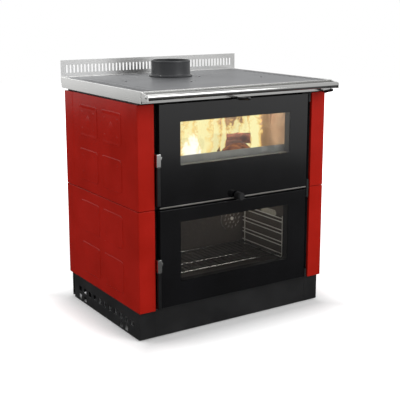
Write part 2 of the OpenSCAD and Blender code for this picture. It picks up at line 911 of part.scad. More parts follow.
module hob_lid_hole(x, t) {
    bar_z(x, t, lid_z, hob_z1 + cut, lid_r);
    bar_z(x, t, hob_z0 - cut, lid_z + cut, lid_r - lid_ledge);
}

module hob_plate() {
    color("#8c8e90")
        difference() {
            span(hob_x, rim_front + hob_gap, rim_back - hob_gap, hob_z0, hob_z1);
            hob_lid_hole(lid_left_x, lid_left_back);
            hob_lid_hole(lid_right_x, lid_right_back);
            bar_z(flue_x, flue_back, hob_z0 - cut, hob_z1 + cut, spigot_in);
            both_sides()
                for (i = [0:side_slot_count - 1])
                    side_slot(i * side_slot_pitch - 6);
            hob_line(hob_line_left - hob_x);
            hob_line(hob_x - hob_line_right);
        }
}

module hob_line(x) {
    block(x - hob_line_w / 2, x + hob_line_w / 2, rim_front, rim_back,
        hob_z1 - hob_line_depth, hob_z1 + cut);
}

module side_slot(t) {
    x1 = hob_x - side_slot_edge;
    x0 = x1 - side_slot_len;
    r = side_slot_w / 2;
    block(x0 + r, x1 - r, t - r, t + r, hob_z0 - cut, hob_z1 + cut);
    bar_z(x0 + r, t, hob_z0 - cut, hob_z1 + cut, r);
    bar_z(x1 - r, t, hob_z0 - cut, hob_z1 + cut, r);
}

module hob_lid(x, t) {
    color("#8c8e90")
        difference() {
            union() {
                bar_z(x, t, lid_z, hob_z1, lid_r - lid_seam);
                bar_z(x, t, hob_z0, lid_z + cut, lid_r - lid_ledge - lid_seam);
            }
            for (a = [lift_angle, lift_angle + 180])
                translate([x, y_at(t), hob_z0 - cut])
                    rotate(a)
                        translate([lift_reach, 0, 0]) {
                            translate([-lift_w / 2, -(lift_len - lift_w) / 2, 0])
                                cube([lift_w, lift_len - lift_w, hob_t + 2 * cut]);
                            for (v = [-1, 1])
                                translate([0, v * (lift_len - lift_w) / 2, 0])
                                    cylinder(h = hob_t + 2 * cut, r = lift_w / 2);
                        }
        }
}

module hob_lid_left() {
    hob_lid(lid_left_x, lid_left_back);
}

module hob_lid_right() {
    hob_lid(lid_right_x, lid_right_back);
}

module flue_collar() {
    color("#4a4b4d")
        difference() {
            union() {
                bar_z(flue_x, flue_back, hob_z1, hob_z1 + collar_t, collar_r);
                bar_z(flue_x, flue_back, hob_z1, hob_z1 + collar_h, spigot_r);
            }
            bar_z(flue_x, flue_back, hob_z1 - cut, hob_z1 + collar_h + cut, spigot_in);
        }
}

module firebox_shell() {
    color("#3a3a3b") {
        difference() {
            span(shell_x, face_back, shell_back, shell_z0, shell_z1);
            span(shell_in, face_back - cut, shell_in_back, ash_floor, shell_z1 + cut);
            span(60, face_back + fire_d - 60, face_back + fire_d - 20, shell_z0 - cut, ash_floor + cut);
        }
        both_sides() {
            block(shell_in - 8, shell_in + cut, face_back, shell_in_back, floor_z0 - 4, floor_z0);
            block(drawer_x + slide_gap, drawer_x + slide_gap + 3, face_back,
                face_back + fire_d - 10, ash_floor - cut, ash_floor + 24);
        }
    }
}

module firebox_floor() {
    color("#b9a78f")
        difference() {
            span(shell_in, face_back, shell_in_back, floor_z0, fire_floor);
            span(grate_w / 2 - 8, grate_front + 8, grate_front + grate_d - 8,
                floor_z0 - cut, fire_floor + cut);
            span(grate_w / 2 + 0.5, grate_front - 0.5, grate_front + grate_d + 0.5,
                grate_z0, fire_floor + cut);
        }
}

module firebricks() {
    side_len = (fire_d - (brick_count - 1) * brick_joint) / brick_count;
    back_len = (2 * shell_in - (brick_count - 1) * brick_joint) / brick_count;
    color("#c9b196") {
        both_sides()
            for (i = [0:brick_count - 1])
                block(fire_x, shell_in, face_back + i * (side_len + brick_joint),
                    face_back + i * (side_len + brick_joint) + side_len, fire_floor, brick_z1);
        for (i = [0:brick_count - 1])
            block(i * (back_len + brick_joint) - shell_in,
                i * (back_len + brick_joint) - shell_in + back_len,
                brick_back, shell_in_back, fire_floor, brick_z1);
    }
}

module fire_grate() {
    pitch = (grate_w - 2 * grate_edge) / grate_slots;
    color("#2c2c2d")
        difference() {
            span(grate_w / 2, grate_front, grate_front + grate_d, grate_z0, fire_floor);
            for (i = [0:grate_slots - 1])
                translate([(i - (grate_slots - 1) / 2) * pitch, 0, 0])
                    span(pitch * 0.22, grate_front + grate_edge, grate_front + grate_d - grate_edge,
                        grate_z0 - cut, fire_floor + cut);
        }
}

module log_retainer() {
    color("#6a6a6b") {
        span(fire_x - retainer_gap, retainer_front, retainer_front + retainer_t, fire_floor,
            fire_floor + retainer_h);
        both_sides()
            block(fire_x - retainer_gap - retainer_foot_in,
                fire_x - retainer_gap - retainer_foot_in + retainer_foot_w,
                retainer_front, retainer_front + retainer_foot_d, fire_floor,
                fire_floor + retainer_foot_h);
    }
}

module baffle() {
    color("#b9a78f")
        span(shell_in - slide_gap, face_back + baffle_gap, shell_in_back - slide_gap,
            brick_z1, brick_z1 + baffle_t);
}

module air_box() {
    wall = 2;
    color("#3a3a3b")
        difference() {
            span(shell_in, face_back, air_back, air_z0, hob_z0);
            span(shell_in - wall, face_back - cut, air_back - wall, air_z0 + wall, hob_z0 - wall);
            for (i = [-8:8])
                translate([i * 28, 0, 0])
                    span(10, face_back + 3, face_back + 9, air_z0 - cut, air_z0 + wall + cut);
        }
}

module hob_chamber() {
    inner_x = chamber_half - case_sheet;
    wall_z0 = chamber_floor + weld_gap;
    color("#353536") {
        difference() {
            span(chamber_half, chamber_front, chamber_back, shell_z1, chamber_floor);
            span(shell_in, chamber_front + case_sheet, shell_in_back,
                shell_z1 - cut, chamber_floor + cut);
            smoke_ports(shell_z1, chamber_floor);
        }
        difference() {
            span(chamber_half, chamber_front, chamber_front + case_sheet, wall_z0, hob_z0);
            bar_y(inner_rod_x, chamber_front - cut, chamber_front + case_sheet + cut,
                bypass_z, rod_r + run_gap);
        }
        span(chamber_half, chamber_back - case_sheet, chamber_back, wall_z0, hob_z0);
        both_sides()
            block(inner_x, chamber_half, chamber_front + case_sheet + weld_gap,
                chamber_back - case_sheet - weld_gap, wall_z0, hob_z0);
        gate_wall(inner_x - weld_gap, wall_z0);
    }
}

module gate_wall(x, z) {
    difference() {
        union() {
            span(x, gate_wall_front, gate_wall_back, z, hob_z0);
            span(shell_in - slide_gap, gate_wall_front, gate_wall_back,
                brick_z1 + baffle_t, z + cut);
        }
        block(flue_x - port_w / 2, flue_x + port_w / 2, gate_wall_front - cut,
            gate_wall_back + cut, gate_low + 4, port_z1);
    }
}

module smoke_ports(z0, z1) {
    block(flue_x - riser_w / 2 + case_sheet, flue_x + riser_w / 2 - case_sheet,
        riser_front + case_sheet, jacket_back - case_sheet, z0 - cut, z1 + cut);
    both_sides()
        block(duct_x0 + case_sheet, duct_x1 - case_sheet, side_duct_back + case_sheet,
            side_duct_back + side_duct_d - case_sheet, z0 - cut, z1 + cut);
}

module duct(x0, x1, t0, t1) {
    difference() {
        block(x0, x1, t0, t1, jacket_z1, shell_z1);
        block(x0 + case_sheet, x1 - case_sheet, t0 + case_sheet, t1 - case_sheet,
            jacket_z1 - cut, shell_z1 + cut);
    }
}

module smoke_ducts() {
    color("#353536") {
        both_sides()
            duct(duct_x0, duct_x1, side_duct_back, side_duct_back + side_duct_d);
        duct(flue_x - riser_w / 2, flue_x + riser_w / 2, riser_front, jacket_back);
    }
}

module smoke_jacket() {
    inner_x = jacket_x - case_sheet;
    wall_z0 = base_top + case_sheet + weld_gap;
    wall_z1 = jacket_z1 - case_sheet - weld_gap;
    color("#353536") {
        span(jacket_x, face_back, jacket_back, base_top, base_top + case_sheet);
        difference() {
            span(jacket_x, face_back, jacket_back, jacket_z1 - case_sheet, jacket_z1);
            smoke_ports(jacket_z1 - case_sheet, jacket_z1);
        }
        both_sides()
            block(inner_x, jacket_x, face_back, jacket_back, wall_z0, wall_z1);
        span(inner_x - weld_gap, jacket_back - case_sheet, jacket_back, wall_z0, wall_z1);
    }
}

module ash_drawer() {
    in_x = drawer_x - drawer_wall;
    color("#5a5a5b")
        difference() {
            span(drawer_x, drawer_front, drawer_front + drawer_d, drawer_z0, drawer_z0 + drawer_h);
            span(in_x, drawer_front + drawer_wall, drawer_front + drawer_d - drawer_wall,
                drawer_z0 + drawer_wall, drawer_z0 + drawer_h + cut);
            block(-drawer_x - cut, drawer_x + cut, drawer_front + drawer_wall + 12,
                drawer_front + drawer_d + cut, drawer_z0 + drawer_h - 12,
                drawer_z0 + drawer_h + cut);
            round_plate(30, drawer_front - cut, drawer_front + drawer_wall + cut,
                drawer_z0 + drawer_h - 34, drawer_z0 + drawer_h - 18, 6);
        }
}

module oven_liner() {
    color("#57524e")
        difference() {
            round_plate(oven_x + liner_t, face_back, oven_back + liner_t,
                oven_floor - liner_t, oven_top + liner_t, oven_r + liner_t);
            round_plate(oven_x, face_back - cut, oven_back, oven_floor, oven_top, oven_r);
        }
}

module oven_vent_cover() {
    color("#9a9895") {
        difference() {
            bar_y(vent_cover_x, oven_back - 3, oven_back, vent_z_mid, vent_cover_r);
            for (i = [0:11])
                bar_y(vent_cover_x + vent_cover_r * 0.68 * cos(i * 30), oven_back - 3 - cut,
                    oven_back + cut, vent_z_mid + vent_cover_r * 0.68 * sin(i * 30), 5);
            for (i = [0:5])
                bar_y(vent_cover_x + vent_cover_r * 0.34 * cos(i * 60), oven_back - 3 - cut,
                    oven_back + cut, vent_z_mid + vent_cover_r * 0.34 * sin(i * 60), 4);
        }
        bar_y(vent_cover_x, oven_back - 7, oven_back - 2, vent_z_mid, 7);
    }
}

module oven_lamp() {
    color("#e8e6da")
        translate([oven_x - 3, y_at(lamp_t), lamp_z])
            rotate([90, 0, 90])
                linear_extrude(3)
                    round_rect(lamp_len, lamp_h, lamp_h / 2 - 0.5);
}

module shelf_side() {
    low = oven_floor + shelf_first;
    high = low + (shelf_levels - 1) * shelf_pitch + shelf_pair;
    for (i = [0:shelf_levels - 1], dz = [0, shelf_pair])
        bar_y(runner_x, face_back + 16, oven_back - 12, low + i * shelf_pitch + dz, shelf_wire_r);
    for (t = [face_back + 24, oven_back - 20]) {
        bar_z(upright_x, t, low - 8, high + 8, shelf_wire_r);
        for (z = [low - 5, high + 5])
            bar_x(upright_x, oven_x, t, z, shelf_wire_r - 0.4);
    }
}

module shelf_runners() {
    color("#b8b6b2")
        both_sides()
            shelf_side();
}

module oven_rack() {
    rear = rack_front + rack_d;
    count = floor((rack_x - 10) / rack_pitch);
    color("#b8b6b2") {
        both_sides()
            bar_y(rack_x, rack_front, rear, rack_z, rack_frame_r);
        for (t = [rack_front + rack_frame_r, rack_front + rack_d * 0.38, rear - rack_frame_r])
            bar_x(-rack_x, rack_x, t, rack_z, rack_frame_r - 0.5);
        for (i = [-count:count])
            bar_y(i * rack_pitch, rack_front + 1, rear - 1,
                rack_z + rack_frame_r - 0.5, rack_wire_r);
    }
}

module hinge_plates() {
    mid_z0 = oven_z1 + 2;
    mid_z1 = mid_z0 + hinge_plate_t;
    low_z1 = oven_z0 - 0.7 - run_gap;
    top_z0 = fire_z1 + 0.8;
    color("#4c4c4e") {
        block(hinge_x - hinge_arm, hinge_x + hinge_arm, 0, face_front, base_top, low_z1);
        bar_z(hinge_x, hinge_back, low_z1 - cut, oven_z0 - run_gap, hinge_lug_r);
        bar_z(hinge_x, hinge_back, base_top, oven_z0 + pin_reach, hinge_pin_r);
        block(hinge_x - hinge_arm, hinge_x + hinge_arm, 0, face_front, mid_z0, mid_z1);
        bar_z(hinge_x, hinge_back, mid_z1 - cut, fire_z0 - run_gap, hinge_lug_r);
        bar_z(hinge_x, hinge_back, oven_z1 - pin_reach, fire_z0 + pin_reach, hinge_pin_r);
        block(hinge_x - 35, hinge_x + hinge_arm + 2, 0, face_front, top_z0,
            top_z0 + top_plate_t);
        bar_z(hinge_x, hinge_back, fire_z1 - pin_reach, top_z0 + cut, hinge_pin_r);
    }
}

module latch_keeper(grip_z0) {
    pivot_z = grip_z0 + grip_len + pivot_up;
    half = 9;
    roller_z = pivot_z + tongue_h / 2 + 0.4 + roller_r;
    difference() {
        block(tongue_x - half - keeper_wall, tongue_x + half + keeper_wall, face_back,
            tongue_reach + 6, pivot_z - 36, roller_z + roller_r + 4);
        block(tongue_x - half, tongue_x + half, face_back - cut, tongue_reach + 4,
            pivot_z - 34, roller_z + roller_r + 2);
    }
    bar_x(tongue_x - half - cut, tongue_x + half + cut, face_back + roller_r + 2,
        roller_z, roller_r);
}

module latch_keepers() {
    color("#8a8a8b") {
        latch_keeper(fire_grip_z0);
        latch_keeper(oven_grip_z0);
    }
}

module rod_guide(x, z) {
    difference() {
        block(x - 7, x + 7, face_front - 12, face_front, z - 5.2, frame_z);
        bar_y(x, face_front - 13, face_front + cut, z, rod_r + run_gap);
    }
}

module rod_guides() {
    color("#4c4c4e") {
        rod_guide(air_x, air_z);
        rod_guide(bypass_x, bypass_z);
    }
}

// The grip at the end of a control rod, rising by an angle to a round tip
module pull_knob(x, z, reach, tilt) {
    length = (reach - pull_r + knob_start) / cos(tilt);
    difference() {
        translate([x, y_at(knob_start), z])
            rotate([90 - tilt, 0, 0]) {
                cylinder(h = length, r = pull_r);
                translate([0, 0, length])
                    sphere(pull_r);
            }
        bar_y(x, rod_tip, 0, z, rod_r);
    }
}

module air_rod() {
    color("#c4c4c3") {
        bar_y(air_x, rod_tip, air_back - 4, air_z, rod_r);
        bar_y(air_x, knob_start + 2, -3, air_z, ferrule_r);
        block(air_x - shutter_half, air_x + shutter_half, air_back - 6, air_back - 4,
            air_z - 13, air_z + 13);
    }
}

module air_knob() {
    color("#161617")
        pull_knob(air_x, air_z, knob_reach, air_tilt);
}

module bypass_rod() {
    color("#c4c4c3") {
        bar_y(bypass_x, rod_tip, link_t + 6, bypass_z, rod_r);
        block(inner_rod_x - 4, bypass_x + 4, link_t, link_t + 6, bypass_z - 4, bypass_z + 4);
        bar_y(inner_rod_x, link_t, gate_front - 1, bypass_z, rod_r);
        block(flue_x, inner_rod_x + 4, gate_front - 6, gate_front, bypass_z - 4, bypass_z + 4);
        block(flue_x - port_w / 2 - 5, flue_x + port_w / 2 + 5, gate_front, gate_front + gate_t,
            gate_low, hob_z0 - 1.5);
    }
}

module bypass_knob() {
    color("#161617")
        pull_knob(bypass_x, bypass_z, knob_reach - bypass_short, bypass_tilt);
}

module door_window(z0, z1, sill, head, grow, t0, t1) {
    round_plate(window_x + grow, t0, t1, z0 + sill - grow, z1 - head + grow, 6 + grow);
}

module hinge_lug(z0) {
    difference() {
        union() {
            bar_z(hinge_x, hinge_back, z0, z0 + hinge_lug_h, hinge_lug_r);
            block(door_x - door_plate_inset - 2, hinge_x, hinge_back, hinge_back + hinge_lug_r,
                z0, z0 + hinge_lug_h);
        }
        bar_z(hinge_x, hinge_back, z0 - cut, z0 + hinge_lug_h + cut, hinge_pin_r + run_gap);
    }
}

module door_frame(z0, z1, sill, head, grip_z0) {
    plate_x = door_x - door_plate_inset;
    seal_x = door_x - seal_side;
    difference() {
        union() {
            round_plate(plate_x, glass_t, plate_back, z0 + door_plate_inset,
                z1 - door_plate_inset, 4);
            door_window(z0, z1, sill, head, window_wall, plate_back - cut, door_t);
            difference() {
                span(seal_x, plate_back - cut, door_t, z0 + seal_end, z1 - seal_end);
                span(seal_x - seal_w, plate_back - 2 * cut, door_t + cut,
                    z0 + seal_end + seal_w, z1 - seal_end - seal_w);
            }
        }
        door_window(z0, z1, sill, head, 0, glass_t - cut, door_t + cut);
    }
    hinge_lug(z0);
    hinge_lug(z1 - hinge_lug_h);
    bar_x(handle_x0 + 1, -plate_x + 2, pivot_t, grip_z0 + grip_len + pivot_up, lever_pin_r);
}

module door_seal(z0, z1) {
    seal_x = door_x - seal_side;
    color("#3c3b39")
        difference() {
            span(seal_x, door_t, door_t + seal_t, z0 + seal_end, z1 - seal_end);
            span(seal_x - seal_w, door_t - cut, door_t + seal_t + cut,
                z0 + seal_end + seal_w, z1 - seal_end - seal_w);
        }
}

module firebox_door_frame() {
    color("#1b1b1c")
        difference() {
            door_frame(fire_z0, fire_z1, fire_sill, fire_head, fire_grip_z0);
            bar_y(valve_x, glass_t - cut, plate_back + cut, valve_z, valve_stem_r + run_gap);
            for (a = [20, 90, 160])
                bar_y(valve_x + 8.5 * cos(a), glass_t - cut, plate_back + cut,
                    valve_z + 8.5 * sin(a), 2.2);
        }
}

module firebox_door_glass() {
    color("#3b3f42")
        difference() {
            round_plate(door_x, 0, glass_t, glass_z0, fire_z1, 3);
            bar_y(valve_x, -cut, glass_t + cut, valve_z, notch_r);
            block(valve_x - notch_r, valve_x + notch_r, -cut, glass_t + cut,
                glass_z0 - cut, valve_z);
        }
}

module firebox_door_rail() {
    color("#d9d9d8")
        span(door_x, 0, glass_t, fire_z0, fire_z0 + rail_h);
}

module firebox_door_seal() {
    door_seal(fire_z0, fire_z1);
}

module door_air_valve() {
    knob_back = valve_front;
    knob_front = valve_front - valve_knob_len;
    color("#161617") {
        bar_y(valve_x, knob_front + 3, knob_back, valve_z, valve_knob_r);
        bar_y(valve_x, knob_front, knob_front + 4, valve_z, valve_knob_r - 3);
        bar_y(valve_x, knob_back - cut, shutter_back, valve_z, valve_stem_r);
        block(valve_x - 13, valve_x + 13, shutter_back - 2, shutter_back,
            valve_z - valve_stem_r, valve_z + 14);
    }
}

module oven_door_frame() {
    color("#1b1b1c")
        door_frame(oven_z0, oven_z1, oven_sill, oven_head, oven_grip_z0);
}

module oven_door_glass() {
    color("#3b3f42")
        round_plate(door_x, 0, glass_t, oven_z0, oven_z1, 3);
}

module oven_door_seal() {
    door_seal(oven_z0, oven_z1);
}

module lever(grip_z0) {
    z0 = grip_z0 + grip_len;
    pivot_z = z0 + pivot_up;
    color("#cfcfce")
        difference() {
            union() {
                block(handle_x0, handle_x1, -handle_front, pivot_t + 8, z0 + 12, z0 + lever_h);
                block(handle_x0, handle_x1, -handle_front, grip_d - handle_front, z0,
                    z0 + lever_h);
                block(tongue_x - tongue_t / 2, tongue_x + tongue_t / 2, pivot_t, tongue_reach,
                    pivot_z - tongue_h / 2, pivot_z + tongue_h / 2);
                block(handle_x1 - 2, handle_x1 + 4, -handle_front, 4 - handle_front,
                    pivot_z + 4, pivot_z + 13);
            }
            bar_x(handle_x0 - cut, handle_x1 + cut, pivot_t, pivot_z, lever_pin_r + run_gap);
        }
}

module grip(grip_z0) {
    color("#1a1a1b")
        translate([(handle_x0 + handle_x1) / 2, y_at(grip_d / 2 - handle_front), grip_z0])
            linear_extrude(grip_len)
                round_rect(handle_w - 2, grip_d, 4);
}

module firebox_lever() {
    lever(fire_grip_z0);
}

module firebox_grip() {
    grip(fire_grip_z0);
}

module oven_lever() {
    lever(oven_grip_z0);
}

module oven_grip() {
    grip(oven_grip_z0);
}

levelling_feet();
plinth_front();
plinth_left();
plinth_right();
base_plate();
side_wall_left();
side_wall_right();
rear_cover();
front_plate();
panel_upper_left();
panel_upper_right();
panel_lower_left();
panel_lower_right();
top_frame_front();
top_frame_left();
top_frame_right();
splashback();
towel_rail();
rail_brackets();
top_screws();
hob_plate();
flue_collar();
hob_lid_left();
hob_lid_right();
firebox_shell();
firebox_floor();
firebricks();
fire_grate();
log_retainer();
baffle();
air_box();
hob_chamber();
smoke_ducts();
smoke_jacket();
ash_drawer();
oven_liner();
oven_vent_cover();
oven_lamp();
shelf_runners();
oven_rack();
power_gland();
hinge_plates();
latch_keepers();
rod_guides();
air_rod();
air_knob();
bypass_rod();
bypass_knob();
firebox_door_frame();
firebox_door_glass();
firebox_door_rail();
firebox_door_seal();
door_air_valve();
firebox_lever();
firebox_grip();
oven_door_frame();
oven_door_glass();
oven_door_seal();
oven_lever();
oven_grip();
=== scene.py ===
"""Looks of a wood-burning cook stove, dressed over its packed construction frame."""

import json
import logging
import math
import random
from abc import ABC, abstractmethod
from collections.abc import Callable, Iterator
from contextlib import contextmanager
from dataclasses import dataclass
from enum import Enum

import bmesh
import bpy
from mathutils import Euler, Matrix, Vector

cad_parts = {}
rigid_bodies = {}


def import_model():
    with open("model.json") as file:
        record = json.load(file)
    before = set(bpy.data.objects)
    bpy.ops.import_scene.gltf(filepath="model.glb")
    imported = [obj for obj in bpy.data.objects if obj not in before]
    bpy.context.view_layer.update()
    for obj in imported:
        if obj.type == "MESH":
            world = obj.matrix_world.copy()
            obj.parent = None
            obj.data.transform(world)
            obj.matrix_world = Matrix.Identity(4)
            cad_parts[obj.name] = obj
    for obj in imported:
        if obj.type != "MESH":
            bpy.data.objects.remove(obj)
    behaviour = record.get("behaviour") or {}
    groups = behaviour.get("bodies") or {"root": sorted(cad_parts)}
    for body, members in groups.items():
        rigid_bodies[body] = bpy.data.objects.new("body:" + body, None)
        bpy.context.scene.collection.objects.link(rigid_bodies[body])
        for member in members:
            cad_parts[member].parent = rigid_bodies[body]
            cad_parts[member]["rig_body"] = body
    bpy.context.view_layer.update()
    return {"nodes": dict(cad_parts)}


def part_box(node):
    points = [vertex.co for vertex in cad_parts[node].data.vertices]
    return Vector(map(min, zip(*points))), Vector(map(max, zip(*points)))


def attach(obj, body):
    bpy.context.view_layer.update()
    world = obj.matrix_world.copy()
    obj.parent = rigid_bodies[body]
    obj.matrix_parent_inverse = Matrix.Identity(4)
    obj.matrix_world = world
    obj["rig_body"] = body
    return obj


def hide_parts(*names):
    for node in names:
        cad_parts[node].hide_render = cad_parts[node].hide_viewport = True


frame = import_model()

LOG = logging.getLogger("stove")
DOOR_PLANE = -0.245
Point = tuple[float, float, float]


def deep(setback: float) -> float:
    """Gives the Y of a plane that lies this far behind the front of the doors, in metres."""
    return DOOR_PLANE + setback


def per(size_mm: float) -> float:
    """Gives the texture scale whose features are about this many millimetres wide."""
    return 1000.0 / size_mm


def srgb(code: str) -> tuple[float, float, float, float]:
    """Turns an sRGB hex colour into a linear one.

    Args:
        code: The colour as "#RRGGBB".

    Returns:
        Linear red, green, blue and an alpha of one.
    """
    parts = [int(code[i : i + 2], 16) / 255.0 for i in (1, 3, 5)]
    linear = [p / 12.92 if p <= 0.04045 else ((p + 0.055) / 1.055) ** 2.4 for p in parts]
    return (linear[0], linear[1], linear[2], 1.0)


def add_node(
    tree: bpy.types.NodeTree,
    kind: str,
    settings: dict[str, object] | None = None,
    inputs: dict[str | int, object] | None = None,
) -> bpy.types.Node:
    """Adds one shader node with its settings and links.

    Args:
        tree: The node tree that gets the node.
        kind: The node's type, without the leading "ShaderNode".
        settings: Properties of the node; "stops" fills a colour ramp with (place, hex) pairs.
        inputs: Values, hex colours or output sockets for the node's inputs, by name or number.

    Returns:
        The new node.
    """
    node = tree.nodes.new("ShaderNode" + kind)
    for key, value in (settings or {}).items():
        if key == "stops":
            ramp = node.color_ramp
            for index, (place, code) in enumerate(value):
                stop = ramp.elements[index] if index < 2 else ramp.elements.new(place)
                stop.position = place
                stop.color = srgb(code)
        else:
            setattr(node, key, value)
    for key, value in (inputs or {}).items():
        if isinstance(value, bpy.types.NodeSocket):
            tree.links.new(value, node.inputs[key])
        elif isinstance(value, str):
            node.inputs[key].default_value = srgb(value)
        else:
            node.inputs[key].default_value = value
    return node


class Slot(Enum):
    """The record's material slots."""

    BLACK_CASING = "black_casing"
    CASING_STEEL = "casing_steel"
    RED_GLAZE = "red_glaze"
    STAINLESS = "stainless"
    POLISHED_STEEL = "polished_steel"
    GROUND_STEEL = "ground_steel"
    BLACK_IRON = "black_iron"
    FIREBRICK = "firebrick"
    GREY_STEEL = "grey_steel"
    OVEN_ENAMEL = "oven_enamel"
    BRIGHT_WIRE = "bright_wire"
    LAMP_GLASS = "lamp_glass"
    DOOR_GLASS = "door_glass"
    SEAL_ROPE = "seal_rope"
    BLACK_PLASTIC = "black_plastic"


class Grain(Enum):
    """Length in millimetres of the brushing marks along X, Y and Z."""

    WIDTHWISE = (140.0, 2.2, 2.2)
    DEPTHWISE = (2.2, 140.0, 2.2)
    UPRIGHT = (2.2, 2.2, 140.0)


@dataclass(frozen=True)
class Finish(ABC):
    """One real surface finish, made once as a procedural material."""

    name: str

    def material(self) -> bpy.types.Material:
        """Gives the finish's material, and makes it the first time."""
        made = bpy.data.materials.get(self.name)
        if made is None:
            made = bpy.data.materials.new(self.name)
            made.use_nodes = True
            tree = made.node_tree
            tree.nodes.clear()
            place = add_node(tree, "TexCoord").outputs["Object"]
            surface = self.shade(tree, place)
            add_node(tree, "OutputMaterial", inputs={"Surface": surface.outputs[0]})
        return made

    @abstractmethod
    def shade(self, tree: bpy.types.NodeTree, place: bpy.types.NodeSocket) -> bpy.types.Node:
        """Builds the finish's nodes.

        Args:
            tree: The material's node tree.
            place: Object coordinates, in metres.

        Returns:
            The node whose first output is the surface.
        """


@dataclass(frozen=True)
class MajolicaGlaze(Finish):
    """Fired majolica: red glass over clay, a shade deeper where it ran thick, faintly rippled."""

    name: str = "majolica_red_glaze"
    thin: str = "#A61D14"
    thick: str = "#98190F"
    run_mm: float = 120.0
    ripple_mm: float = 16.0
    roughness: float = 0.16
    spread: float = 0.05

    def shade(self, tree: bpy.types.NodeTree, place: bpy.types.NodeSocket) -> bpy.types.Node:
        """Builds the runs of the glaze, its ripple and a fine crawl of tone."""
        runs = add_node(
            tree, "TexNoise", inputs={"Vector": place, "Scale": per(self.run_mm), "Detail": 4.0}
        )
        tone = add_node(
            tree,
            "ValToRGB",
            {"stops": [(0.3, self.thick), (0.68, self.thin)]},
            {"Fac": runs.outputs["Fac"]},
        )
        ripple = add_node(
            tree, "TexNoise", inputs={"Vector": place, "Scale": per(self.ripple_mm), "Detail": 2.0}
        )
        relief = add_node(
            tree,
            "Bump",
            inputs={"Height": ripple.outputs["Fac"], "Strength": 0.2, "Distance": 0.0005},
        )
        sheen = add_node(
            tree,
            "MapRange",
            inputs={
                "Value": runs.outputs["Fac"],
                3: self.roughness - self.spread,
                4: self.roughness + self.spread,
            },
        )
        return add_node(
            tree,
            "BsdfPrincipled",
            inputs={
                "Base Color": tone.outputs["Color"],
                "Roughness": sheen.outputs["Result"],
                "Specular IOR Level": 0.08,
                "Normal": relief.outputs["Normal"],
            },
        )


@dataclass(frozen=True)
class BrushedMetal(Finish):
    """Sheet or tube drawn through an abrasive belt: fine parallel lines that streak its shine."""

    colour: str = "#DAD9D5"
    worn: str = "#C9C8C4"
    grain: Grain = Grain.WIDTHWISE
    roughness: float = 0.28
    depth: float = 0.0001
    spread: float = 0.06
    edge_tint: str = "#FFFFFF"

    def shade(self, tree: bpy.types.NodeTree, place: bpy.types.NodeSocket) -> bpy.types.Node:
        """Builds the brushing marks, drawn coarser than the real 0.3 mm so that they show."""
        stretch = add_node(
            tree,
            "Mapping",
            inputs={"Vector": place, "Scale": tuple(per(size) for size in self.grain.value)},
        )
        lines = add_node(
            tree, "TexNoise", inputs={"Vector": stretch.outputs[0], "Scale": 1.0, "Detail": 5.0}
        )
        cloud = add_node(
            tree, "TexNoise", inputs={"Vector": place, "Scale": per(180.0), "Detail": 2.0}
        )
        both = add_node(
            tree,
            "Math",
            {"operation": "MULTIPLY_ADD"},
            {0: lines.outputs["Fac"], 1: 0.6, 2: cloud.outputs["Fac"]},
        )
        tone = add_node(
            tree,
            "ValToRGB",
            {"stops": [(0.55, self.worn), (1.0, self.colour)]},
            {"Fac": both.outputs[0]},
        )
        gloss = add_node(
            tree,
            "MapRange",
            inputs={
                "Value": lines.outputs["Fac"],
                1: 0.3,
                2: 0.7,
                3: self.roughness - self.spread / 2,
                4: self.roughness + self.spread / 2,
            },
        )
        relief = add_node(
            tree,
            "Bump",
            inputs={"Height": lines.outputs["Fac"], "Strength": 0.3, "Distance": self.depth},
        )
        return add_node(
            tree,
            "BsdfPrincipled",
            inputs={
                "Base Color": tone.outputs["Color"],
                "Metallic": 1.0,
                "Roughness": gloss.outputs["Result"],
                "Specular Tint": self.edge_tint,
                "Normal": relief.outputs["Normal"],
            },
        )


@dataclass(frozen=True)
class GrittySkin(Finish):
    """A dull skin with a grain of one size: sprayed stove paint, sand-cast iron or scaled steel."""

    colour: str = "#1F1F20"
    dusty: str = "#2A2A2B"
    patch_mm: float = 90.0
    grit_mm: float = 1.6
    grit_depth: float = 0.00025
    roughness: float = 0.5
    metallic: float = 0.0
    specular: float = 0.4

    def shade(self, tree: bpy.types.NodeTree, place: bpy.types.NodeSocket) -> bpy.types.Node:
        """Builds the patches of dust or scale and the grit, drawn a little coarse so it shows."""
        patches = add_node(
            tree, "TexNoise", inputs={"Vector": place, "Scale": per(self.patch_mm), "Detail": 6.0}
        )
        tone = add_node(
            tree,
            "ValToRGB",
            {"stops": [(0.38, self.colour), (0.72, self.dusty)]},
            {"Fac": patches.outputs["Fac"]},
        )
        grit = add_node(
            tree, "TexNoise", inputs={"Vector": place, "Scale": per(self.grit_mm), "Detail": 2.0}
        )
        gloss = add_node(
            tree,
            "MapRange",
            inputs={
                "Value": patches.outputs["Fac"],
                1: 0.3,
                2: 0.7,
                3: self.roughness - 0.06,
                4: self.roughness + 0.08,
            },
        )
        relief = add_node(
            tree,
            "Bump",
            inputs={"Height": grit.outputs["Fac"], "Strength": 0.4, "Distance": self.grit_depth},
        )
        return add_node(
            tree,
            "BsdfPrincipled",
            inputs={
                "Base Color": tone.outputs["Color"],
                "Metallic": self.metallic,
                "Roughness": gloss.outputs["Result"],
                "Specular IOR Level": self.specular,
                "Normal": relief.outputs["Normal"],
            },
        )


